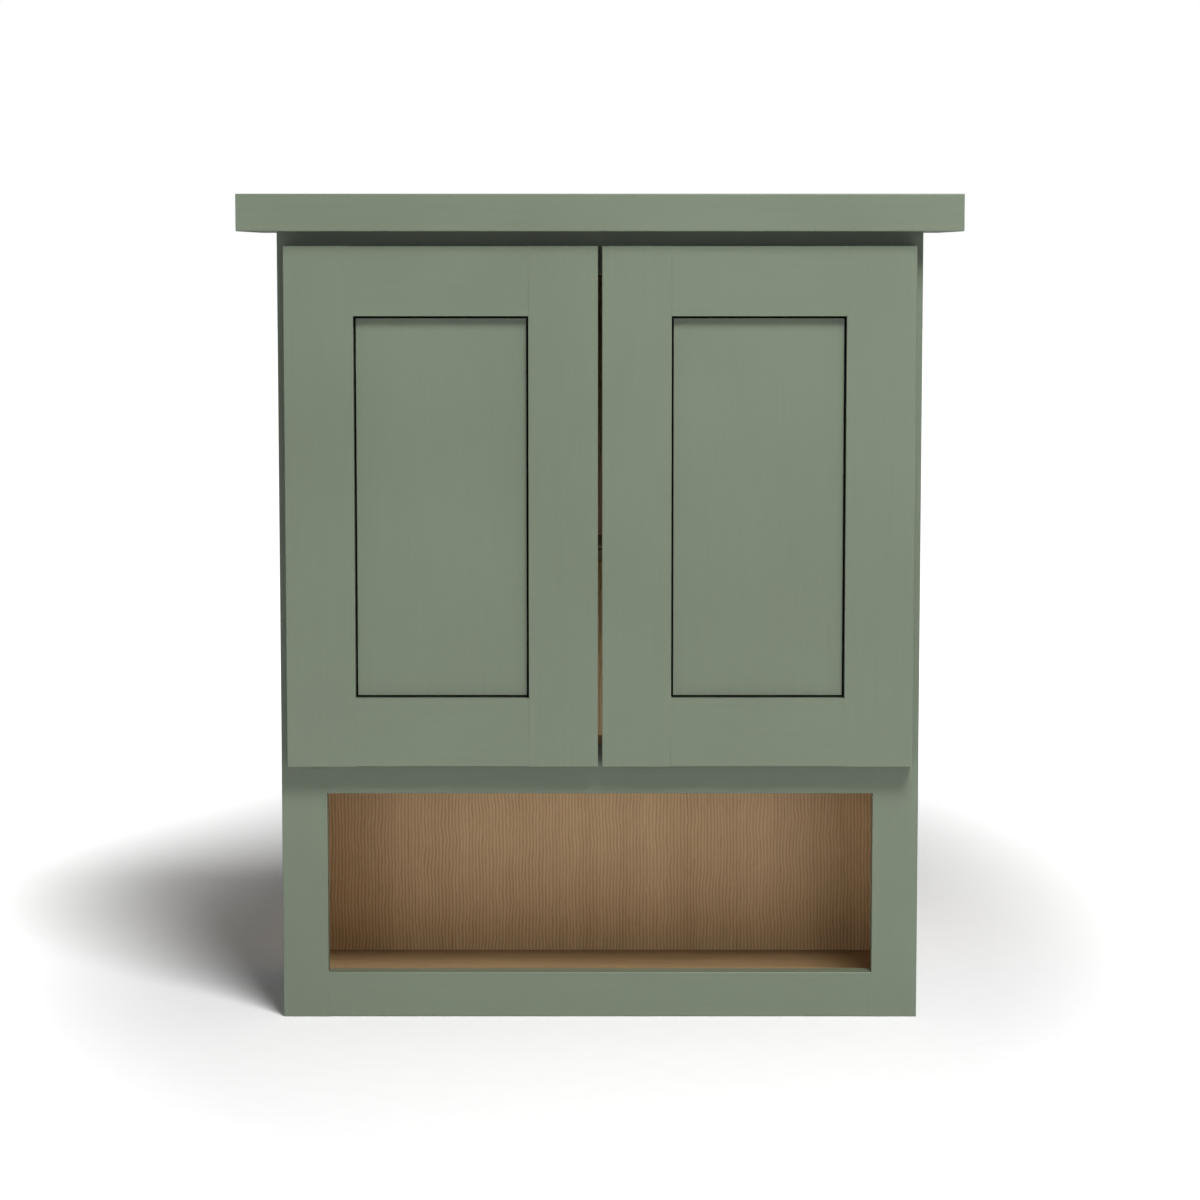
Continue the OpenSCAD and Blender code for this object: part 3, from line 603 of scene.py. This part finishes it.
# %% Finish the steel parts
hinge_easing = 0.22 * MM
pin_easing = 0.2 * MM
shelf_pin_easing = 0.5 * MM
for side in SIDES:
    ease_all([side + "_" + place + "_hinge_" + part for place in ("upper", "lower")
              for part in ("cup", "arm")], hinge_easing, [nickel])
    ease_all([side + "_hinge_pins"], pin_easing, [nickel])
ease_all(["shelf_pins"], shelf_pin_easing, [nickel])

# %% [markdown]
# ## Screws with a cross recess
# A screw head is a disc until its drive is pressed in, and the drive is what makes it read as a
# screw. One could be modelled by hand and copied, but there are three kinds here. So a tree of
# geometry nodes makes one the way a factory does: a head upset from wire, a pointed core, a rolled
# thread and a tapered cross driven into the head. Every size is an input with a name, and the first
# input takes the points that the screws will stand on. Two helpers start and end such a tree.

# %% Start the screws' tree
def new_tree(name, sizes):
    """An empty geometry tree with named inputs, and the outputs of its group input."""
    tree = bpy.data.node_groups.new(name, "GeometryNodeTree")
    tree.interface.new_socket("Points", in_out="INPUT", socket_type="NodeSocketGeometry")
    for label, kind, value in sizes:
        socket = tree.interface.new_socket(label, in_out="INPUT", socket_type="NodeSocket" + kind)
        socket.default_value = value
    tree.interface.new_socket("Mesh", in_out="OUTPUT", socket_type="NodeSocketGeometry")
    return tree, add(tree, "NodeGroupInput").outputs


def close_tree(tree, geometry, material):
    """Ends a tree in Realize Instances, Set Material and the group output."""
    real = add(tree, "GeometryNodeRealizeInstances", {0: geometry})
    dressed = add(tree, "GeometryNodeSetMaterial", {"Geometry": real, "Material": material})
    add(tree, "NodeGroupOutput", {0: dressed})
    print("tree", tree.name, "has", len(tree.nodes), "nodes")


DRIVER_SEED = 4
screws, given = new_tree("cross_recess_screws", [
    ("Head Radius", "Float", 4 * MM), ("Foot Radius", "Float", 2 * MM),
    ("Head Height", "Float", 2.4 * MM), ("Dome", "Float", 0.0),
    ("Shank Radius", "Float", 2 * MM), ("Length", "Float", 30 * MM),
    ("Reach", "Float", 2.2 * MM), ("Width", "Float", 1.0 * MM), ("Depth", "Float", 1.4 * MM),
    ("Facing", "Vector", (0, 0, 0)), ("Seed", "Int", DRIVER_SEED)])
tip, foot = [add(screws, "ShaderNodeMath", {0: given[size], 1: -1.0}, operation="MULTIPLY")
             for size in ("Length", "Head Height")]
print("a screw is given its", [socket.name for socket in given if socket.name])

# %% [markdown]
# ### Head and core
# A head and a core are turned shapes. They could be spun from a drawn profile, but a ring swept along
# a short line, with a radius that changes on the way, is a lathe whose sizes are numbers. The head
# widens from its foot to its face, which makes a flat countersunk head, and the dome bows it inwards
# towards the face. The core is thinner than the shank and ends in a point.

# %% Turn the head and the core
def turned(tree, low, high, radius, steps, ring):
    """A solid between two heights: a ring of radius 1 swept up a line in steps, radius wide."""
    start = add(tree, "ShaderNodeCombineXYZ", {2: low})
    end = add(tree, "ShaderNodeCombineXYZ", {2: high})
    line = add(tree, "GeometryNodeCurvePrimitiveLine", {"Start": start, "End": end})
    stops = add(tree, "GeometryNodeResampleCurve", {"Curve": line, "Count": steps})
    return add(tree, "GeometryNodeCurveToMesh",
               {"Curve": stops, "Profile Curve": ring, "Scale": radius, "Fill Caps": True})


height = add(screws, "GeometryNodeSplineParameter").outputs["Factor"]
flare = add(screws, "ShaderNodeMapRange",
            {"Value": height, "To Min": given["Foot Radius"], "To Max": given["Head Radius"]})
bow = add(screws, "ShaderNodeMath", {0: height, 1: given["Dome"]}, operation="MULTIPLY")
square = add(screws, "ShaderNodeMath", {0: bow, 1: 2.0}, operation="POWER")
rest = add(screws, "ShaderNodeMath", {0: 1.0, 1: square}, operation="SUBTRACT")
share = add(screws, "ShaderNodeMath", {0: rest}, operation="SQRT")
radius = add(screws, "ShaderNodeMath", {0: flare, 1: share}, operation="MULTIPLY")
ring = add(screws, "GeometryNodeCurvePrimitiveCircle", {"Resolution": 32, "Radius": 1.0})
head = turned(screws, foot, 0.0, radius, 9, ring)

core_share = 0.68
point_share = 0.15
point_radius = 0.1 * MM
thin = add(screws, "ShaderNodeMath", {0: given["Shank Radius"], 1: core_share}, operation="MULTIPLY")
radius = add(screws, "ShaderNodeMapRange",
             {"Value": height, "From Max": point_share, "To Min": point_radius, "To Max": thin})
ring = add(screws, "GeometryNodeCurvePrimitiveCircle", {"Resolution": 12, "Radius": 1.0})
core = turned(screws, tip, foot, radius, 14, ring)
print("head and core turned,", len(screws.nodes), "nodes so far")

# %% [markdown]
# ### Thread
# A screw's thread is rolled: the metal is squeezed up into a thin rib that climbs the core. It could
# be cut as a groove, but that takes a costly boolean all the way up. A small square swept along a
# spiral is the rib itself, and it has few faces. Its sizes are shares of the shank radius, so a
# thicker screw gets a coarser thread, as in the shop. It starts above the point and ends below the
# head, where a real shank is plain.

# %% Roll the thread
thread_shares = {"pitch": 0.9, "middle": 0.78, "rib": 0.2}
run_share = 0.65
pitch, middle, rib = [add(screws, "ShaderNodeMath", {0: given["Shank Radius"], 1: share},
                          operation="MULTIPLY") for share in thread_shares.values()]
run = add(screws, "ShaderNodeMath", {0: given["Length"], 1: run_share}, operation="MULTIPLY")
turns = add(screws, "ShaderNodeMath", {0: run, 1: pitch}, operation="DIVIDE")
climb = add(screws, "GeometryNodeCurveSpiral",
            {"Resolution": 12, "Rotations": turns, "Start Radius": middle, "End Radius": middle,
             "Height": run})
section = add(screws, "GeometryNodeCurvePrimitiveCircle", {"Resolution": 4, "Radius": rib})
spiral = add(screws, "GeometryNodeCurveToMesh",
             {"Curve": climb, "Profile Curve": section, "Fill Caps": True})
start = add(screws, "ShaderNodeMath", {0: given["Length"], 1: point_share, 2: tip},
            operation="MULTIPLY_ADD")
above_point = add(screws, "ShaderNodeCombineXYZ", {2: start})
thread = add(screws, "GeometryNodeTransform", {"Geometry": spiral, "Translation": above_point})
print("thread rolled,", len(screws.nodes), "nodes so far")

# %% [markdown]
# ### Cross recess
# A punch with four tapered wings makes the recess. A dark cross painted on the head would pass from
# far off, but not close by, so two tapered blades at right angles are really taken out of the head.
# A blade is a cone with four sides, turned by an eighth of a turn so that its sides lie along its
# width. The exact solver takes them out, because the two blades overlap each other.

# %% Drive the cross
corner = 2 ** 0.5
taper = 0.4
blade = add(screws, "GeometryNodeMeshCone",
            {"Vertices": 4, "Radius Top": corner, "Radius Bottom": taper * corner, "Depth": 1.0})
squared = add(screws, "GeometryNodeTransform", {"Geometry": blade, "Rotation": (0, 0, math.pi / 4)})
slim, tall, sink = [add(screws, "ShaderNodeMath", {0: given[size], 1: share},
                        operation="MULTIPLY")
                    for size, share in (("Width", 0.5), ("Depth", 1.3), ("Depth", -1.0))]
down = add(screws, "ShaderNodeCombineXYZ", {2: sink})
wide = add(screws, "ShaderNodeCombineXYZ", {0: given["Reach"], 1: slim, 2: tall})
first = add(screws, "GeometryNodeTransform", {"Geometry": squared, "Translation": down, "Scale": wide})
second = add(screws, "GeometryNodeTransform", {"Geometry": first, "Rotation": (0, 0, math.pi / 2)})
cut = add(screws, "GeometryNodeMeshBoolean", {0: head}, operation="DIFFERENCE", solver="EXACT")
for wings in (first, second):
    screws.links.new(wings.outputs[0], cut.inputs[1])
print("cross driven,", len(screws.nodes), "nodes so far")

# %% [markdown]
# ### A screw on every point
# The tree joins head, core and thread, keeps its sharp edges crisp and stands a copy on every point.
# Screws that all stop at the same angle look printed, so each one gets a turn of its own, random but
# the same in every run, as a driver leaves it.

# %% Stand a screw on every point
crisp_angle = math.radians(28)
screw = add(screws, "GeometryNodeJoinGeometry")
for part in (cut, core, thread):
    screws.links.new(part.outputs[0], screw.inputs[0])
angle = add(screws, "GeometryNodeInputMeshEdgeAngle")
crease = add(screws, "FunctionNodeCompare", {0: angle, 1: crisp_angle}, operation="GREATER_THAN")
crisp = add(screws, "GeometryNodeSetShadeSmooth",
            {"Geometry": screw, "Selection": crease, "Shade Smooth": False}, domain="EDGE")
stand = add(screws, "GeometryNodeInstanceOnPoints",
            {"Points": given["Points"], "Instance": crisp, "Rotation": given["Facing"]})
spin = add(screws, "FunctionNodeRandomValue", {2: 0.0, 3: math.pi / 2, "Seed": given["Seed"]},
           data_type="FLOAT")
turn = add(screws, "ShaderNodeCombineXYZ", {2: spin})
spun = add(screws, "GeometryNodeRotateInstances",
           {"Instances": stand, "Rotation": turn, "Local Space": True})
close_tree(screws, spun, nickel)

# %% [markdown]
# ## Fitting the screws
# The screws' places could be typed in, but they would be wrong as soon as the CAD model changes. So
# the screws of a CAD node are welded and parted into single ones, and each one's box says where it is
# and how big. The boxes are sorted, so that each screw gets the same turn every time. A screw stands
# on the middle of its box's face at the end where its head is.

# %% Find the single solids of a node and their ends
def single_boxes(node):
    """The lowest and highest corner of every separate solid in a CAD node."""
    skin = weld(node)
    unseen = set(skin.verts)
    boxes = []
    while unseen:
        front = [unseen.pop()]
        places = []
        while front:
            vert = front.pop()
            places.append(vert.co)
            for edge in vert.link_edges:
                other = edge.other_vert(vert)
                if other in unseen:
                    unseen.discard(other)
                    front.append(other)
        boxes.append((Vector([min(p[i] for p in places) for i in range(3)]),
                      Vector([max(p[i] for p in places) for i in range(3)])))
    skin.free()
    return sorted(boxes, key=lambda box: [round(v, 5) for v in box[0]])


def end_middles(boxes, axis, end):
    """The middle of each box's face at the low (0) or high (1) end of an axis."""
    points = [(low + high) / 2 for low, high in boxes]
    for point, box in zip(points, boxes):
        point[axis] = box[end][axis]
    return points


print("crown_screws holds", len(single_boxes("crown_screws")), "single screws")

# %% [markdown]
# ### Running the tree
# A tree needs an object to run on. A helper object holds the points, and the tree is its modifier.
# The modifier could stay live, but other programs read only meshes. So the result is made a plain
# mesh that stands for the CAD node, and the helper goes, with the empty material slot it brought.

# %% Run the tree and fit the screws
def fit_tree(tree, node, points, values, ending, finish):
    """Runs a geometry tree on points, and its plain mesh stands for a CAD node."""
    name = node + ending
    holder_mesh = bpy.data.meshes.new(name + "_points")
    holder_mesh.from_pydata([tuple(p) for p in points], [], [])
    holder = new_object(name + "_points", holder_mesh)
    modifier = holder.modifiers.new("tree", "NODES")
    modifier.node_group = tree
    for item in tree.interface.items_tree:
        if item.in_out == "INPUT" and item.name in values:
            modifier[item.identifier] = values[item.name]
    graph = bpy.context.evaluated_depsgraph_get()
    mesh = bpy.data.meshes.new_from_object(holder.evaluated_get(graph), depsgraph=graph)
    holder.modifiers.remove(modifier)
    bpy.data.objects.remove(holder)
    mesh.materials.clear()
    mesh.name = name
    finish_piece(name, mesh, node, [finish])
    print(name, "has", len(points), "copies with", len(mesh.polygons), "faces")


def fit_screws(node, axis, end, facing, sizes, dome=0.0):
    """Fits a node's screws, whose heads lie at the low (0) or high (1) end of an axis. Sizes are in
    millimetres, and the length and the head's radius come from the CAD screws."""
    boxes = single_boxes(node)
    extent = boxes[0][1] - boxes[0][0]
    values = {name: size * MM for name, size in sizes.items()}
    values.update({"Head Radius": extent[(axis + 1) % 3] / 2, "Length": extent[axis],
                   "Dome": dome, "Facing": facing, "Seed": DRIVER_SEED})
    fit_tree(screws, node, end_middles(boxes, axis, end), values, "_with_crosses", nickel)


QUARTER_TURN = math.pi / 2
for side, inward in (("left", 1), ("right", -1)):
    fit_screws(side + "_cup_screws", Y, 1, (-QUARTER_TURN, 0, 0),
               {"Foot Radius": 1.75, "Shank Radius": 1.75, "Head Height": 1.2,
                "Reach": 1.9, "Width": 0.95, "Depth": 1.0})
    fit_screws(side + "_arm_screws", X, (1 + inward) // 2, (0, QUARTER_TURN * inward, 0),
               {"Foot Radius": 3.8, "Shank Radius": 2.0, "Head Height": 2.2,
                "Reach": 2.0, "Width": 1.05, "Depth": 1.5}, dome=0.75)
fit_screws("crown_screws", Z, 0, (math.pi, 0, 0),
           {"Foot Radius": 2.0, "Shank Radius": 2.0, "Head Height": 2.4,
            "Reach": 2.3, "Width": 1.1, "Depth": 1.5})

# %% [markdown]
# ## Door bumpers
# A bumper is a drop of clear plastic that keeps a door from knocking: a disc whose top is part of a
# sphere. A cylinder would stand in for it, but light only gathers in a real dome. So the tree
# flattens a ball, takes its lower half away and puts one on every point, where a CAD button meets the
# door.

# %% Build and fit the bumpers
slab_size = 30 * MM
buttons, given = new_tree("domed_buttons", [
    ("Radius", "Float", 5 * MM), ("Height", "Float", 2.1 * MM), ("Facing", "Vector", (0, 0, 0))])
drop = add(buttons, "GeometryNodeMeshUVSphere",
           {"Segments": 32, "Rings": 16, "Radius": given["Radius"]})
flat = add(buttons, "ShaderNodeMath", {0: given["Height"], 1: given["Radius"]}, operation="DIVIDE")
scale = add(buttons, "ShaderNodeCombineXYZ", {0: 1.0, 1: 1.0, 2: flat})
ball = add(buttons, "GeometryNodeTransform", {"Geometry": drop, "Scale": scale})
slab = add(buttons, "GeometryNodeMeshCube", {"Size": [slab_size] * 3})
below = add(buttons, "GeometryNodeTransform",
            {"Geometry": slab, "Translation": (0, 0, -slab_size / 2)})
dome = add(buttons, "GeometryNodeMeshBoolean", {0: ball}, operation="DIFFERENCE")
buttons.links.new(below.outputs[0], dome.inputs[1])
smooth = add(buttons, "GeometryNodeSetShadeSmooth", {0: dome})
put = add(buttons, "GeometryNodeInstanceOnPoints",
          {"Points": given["Points"], "Instance": smooth, "Rotation": given["Facing"]})
close_tree(buttons, put, polyurethane)

for side in SIDES:
    boxes = single_boxes(side + "_door_bumpers")
    size = boxes[0][1] - boxes[0][0]
    values = {"Radius": size.x / 2, "Height": size.y, "Facing": (-QUARTER_TURN, 0, 0)}
    fit_tree(buttons, side + "_door_bumpers", end_middles(boxes, Y, 0), values, "_domed", polyurethane)

# %% [markdown]
# ## Fluted dowels
# Two dowels hold each joint of the face frame. A dowel is a beech rod with straight flutes, which let
# the glue out of its hole, and with chamfered ends, so that it finds the hole. The flutes could be cut
# one by one, but a star with many shallow points, swept along the rod with a radius that shrinks at
# both ends, gives both at once. They are glued in where nobody sees them, but a part that comes apart
# on a bench shows them.

# %% Build and fit the dowels
flute_count = 18
chamfer_share = 0.05
end_share = 0.78
dowels, given = new_tree("fluted_dowels", [
    ("Radius", "Float", 4 * MM), ("Length", "Float", 30 * MM), ("Flute Depth", "Float", 0.08),
    ("Facing", "Vector", (0, 0, 0))])
inner = add(dowels, "ShaderNodeMath", {0: 1.0, 1: given["Flute Depth"]}, operation="SUBTRACT")
star = add(dowels, "GeometryNodeCurveStar",
           {"Points": flute_count, "Inner Radius": inner, "Outer Radius": 1.0})
along = add(dowels, "GeometryNodeSplineParameter").outputs["Factor"]
to_end = add(dowels, "ShaderNodeMath", {0: along, 1: 0.5}, operation="PINGPONG")
slim = add(dowels, "ShaderNodeMath", {0: given["Radius"], 1: end_share}, operation="MULTIPLY")
radius = add(dowels, "ShaderNodeMapRange",
             {"Value": to_end, "From Max": chamfer_share, "To Min": slim, "To Max": given["Radius"]})
rod = turned(dowels, 0.0, given["Length"], radius, 21, star)
put = add(dowels, "GeometryNodeInstanceOnPoints",
          {"Points": given["Points"], "Instance": rod, "Rotation": given["Facing"]})
close_tree(dowels, put, beech)

boxes = single_boxes("frame_dowels")
size = boxes[0][1] - boxes[0][0]
values = {"Radius": size.y / 2, "Length": size.x, "Facing": (0, QUARTER_TURN, 0)}
fit_tree(dowels, "frame_dowels", end_middles(boxes, X, 0), values, "_fluted", beech)
print("CAD nodes without a finished piece:", [n for n, node in nodes.items() if not node.hide_render])

# %% [markdown]
# ## Studio paper
# The cabinet stands on white studio paper. Far out the paper gets little of the main light, and its
# grey would end in a line against the white room. It could be curved up behind the cabinet, but that
# shows from other sides. So far out it glows, for the camera alone, as if it had lamps of its own, and
# runs into the white. The glow reads the place on the paper: it grows outwards in an oval that is
# narrower across the picture than in its depth.

# %% Lay the paper
floor_reach = 30.0
floor_drop = 0.2 * MM
PAPER_CLOUD = 30 * MM
OVAL_SHIFT = (0, -0.06, 0)
OVAL_SQUEEZE = (2.3, 1.04, 1)


def studio_paper(near, far):
    """White paper, dull and even to the eye. Its glow grows from near to far out in the oval."""
    material, tree, place = start_material("white_studio_paper")
    cloud = add(tree, "ShaderNodeTexNoise", {"Vector": place, "Scale": 1 / PAPER_CLOUD, "Detail": 2.0})
    oval = add(tree, "ShaderNodeMapping",
               {"Vector": place, "Location": OVAL_SHIFT, "Scale": OVAL_SQUEEZE})
    reach = add(tree, "ShaderNodeVectorMath", {0: oval}, operation="LENGTH")
    rise = add(tree, "ShaderNodeMapRange", {"Value": reach, "From Min": near, "From Max": far},
               interpolation_type="SMOOTHSTEP")
    seen = add(tree, "ShaderNodeLightPath").outputs["Is Camera Ray"]
    light = add(tree, "ShaderNodeMath", {0: seen, 1: rise}, operation="MULTIPLY")
    white = add(tree, "ShaderNodeMix",
                {"Factor": cloud, "A": linear("#F4F4F4"), "B": linear("#F8F8F8")}, data_type="RGBA")
    shader = add(tree, "ShaderNodeBsdfPrincipled",
                 {"Base Color": white, "Roughness": 0.95, "Specular IOR Level": 0.05,
                  "Emission Color": (1, 1, 1, 1), "Emission Strength": light})
    add(tree, "ShaderNodeOutputMaterial", {"Surface": shader})
    return material


floor_mesh = bpy.data.meshes.new("floor")
corners = [(x * floor_reach, y * floor_reach, 0) for x, y in ((-1, -1), (1, -1), (1, 1), (-1, 1))]
floor_mesh.from_pydata(corners, [], [(0, 1, 2, 3)])
floor_mesh.materials.append(studio_paper(near=0.86, far=2.19))
floor = new_object("floor", floor_mesh)
floor.location.z = cad_low.z - floor_drop
print("floor at", round(floor.location.z, 4))

# %% [markdown]
# ## The room
# The room round the paper is white to the camera, but it sends back only a little light, because the
# lamps point away from it. Walls could be built for that, but a background does the same: one level
# for what the camera sees, and a lower one for the light that reaches the cabinet. The Standard view
# shows colours as they are mixed, with no film curve over them.

# %% Light the room
room_light = 0.148
room = bpy.data.worlds.new("room")
room.use_nodes = True
room.node_tree.nodes.clear()
seen = add(room.node_tree, "ShaderNodeLightPath").outputs["Is Camera Ray"]
level = add(room.node_tree, "ShaderNodeMapRange", {"Value": seen, "To Min": room_light, "To Max": 1.0})
air = add(room.node_tree, "ShaderNodeBackground", {"Color": (1, 1, 1, 1), "Strength": level})
add(room.node_tree, "ShaderNodeOutputWorld", {"Surface": air})
bpy.context.scene.world = room
bpy.context.scene.view_settings.view_transform = "Standard"
print("room light", room_light)

# %% [markdown]
# ## The soft box and the screens
# The main light is a large soft box, high up in front and to the right: its shadow falls to the left
# and back over the floor, the crown shades the strip over the doors, and the doors shade the rail
# below them. A sun lamp would light top and bottom alike, but the soft box hangs near enough for the
# crown to get more light than the bottom rail. Two low screens far in front fill the shade a little,
# from the sides, so that they don't shine into the gap between the doors.

# %% Hang the soft box and the screens
def hang_lamp(name, shape, width, height, place, turn, level, distance):
    """An area lamp that gives a white wall this level of light at this distance."""
    data = bpy.data.lights.new(name, "AREA")
    data.shape = shape
    data.size = width
    data.size_y = height
    data.energy = level * (math.pi * distance) ** 2
    lamp = new_object(name, data)
    lamp.location = place
    lamp.rotation_euler = turn.to_euler()
    print(name, "at", [round(v, 3) for v in place])
    return lamp


def lamp_at(name, right, up, distance, width, level):
    """A round lamp, so many degrees right of the cabinet's front and up, aimed at its middle."""
    aim = Vector((0, -0.2, -0.1))
    right, up = math.radians(right), math.radians(up)
    way = Vector((math.cos(up) * math.sin(right), -math.cos(up) * math.cos(right), math.sin(up)))
    hang_lamp(name, "DISK", width, width, aim + way * distance,
              (-way).to_track_quat("-Z", "Y"), level, distance)


lamp_at("soft_box", right=21, up=51, distance=3.3, width=1.24, level=1.2)
lamp_at("low_screen_right", right=16, up=9, distance=5.0, width=1.6, level=0.038)
lamp_at("low_screen_left", right=-16, up=9, distance=5.0, width=1.6, level=0.044)

# %% [markdown]
# ## Cards before the niche and behind the case
# Photographers put white cards where a dark corner needs a little light. Two stand before the niche,
# left and right, and lift its back, and one behind the case keeps the rear views from going grey.
# Each is a long lamp with a narrow beam, so that it lights its own place and little else. The camera
# doesn't see them, so they can stand in its way.

# %% Set up the cards
def strip_lamp(name, place, direction, width, height, beam, level, distance):
    """A long lamp, unseen by the camera, with a beam of so many degrees."""
    lamp = hang_lamp(name, "RECTANGLE", width, height, place,
                     Vector(direction).to_track_quat("-Z", "Z"), level, distance)
    lamp.data.spread = math.radians(beam)
    lamp.visible_camera = False


niche_middle = (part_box("bottom_frame_rail")[1].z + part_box("middle_frame_rail")[0].z) / 2
for side in (-1, 1):
    strip_lamp("white_card_before_the_niche", (side * 0.55, -1.1, niche_middle + 0.02),
               (side * -0.42, 1, -0.02), width=0.5, height=0.1, beam=55, level=0.0045, distance=1.0)
case_middle = (cad_low.z + cad_high.z) / 2
strip_lamp("white_card_behind_the_case", (0, 0.6, case_middle), (0, -1, 0),
           width=0.5, height=0.66, beam=25, level=0.16, distance=0.6)

# %% [markdown]
# ## Light in the gap between the doors
# In the real picture the narrow gap between the doors is brown and grows lighter downwards: light gets
# into the cupboard and shows its back. Bounced light could do that by itself, but too few rays find
# their way through so narrow a gap. So three faint strips inside the cupboard stand for it: one on its
# floor behind the middle rail, one on the shelf and one before the shelf's edge.

# %% Set the strips behind the gap
strip = {"width": 0.45, "height": 0.012, "beam": 160}
rail_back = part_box("middle_frame_rail")[1].y
cupboard_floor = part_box("divider_panel")[1].z
shelf_low, shelf_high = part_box("adjustable_shelf")
shelf_middle = (shelf_low.z + shelf_high.z) / 2
strip_lamp("glow_low_in_the_door_gap", (0, rail_back + 0.012, cupboard_floor + 0.008),
           (0, 1, -0.06), level=0.36, distance=0.155, **strip)
strip_lamp("glow_high_in_the_door_gap", (0, shelf_low.y + 0.008, shelf_high.z + 0.008),
           (0, 1, -0.06), level=0.09, distance=0.155, **strip)
strip_lamp("glow_on_the_shelf_edge", (0, shelf_low.y - 0.006, shelf_middle),
           (0, 1, 0), level=1.6, distance=0.01, **strip)
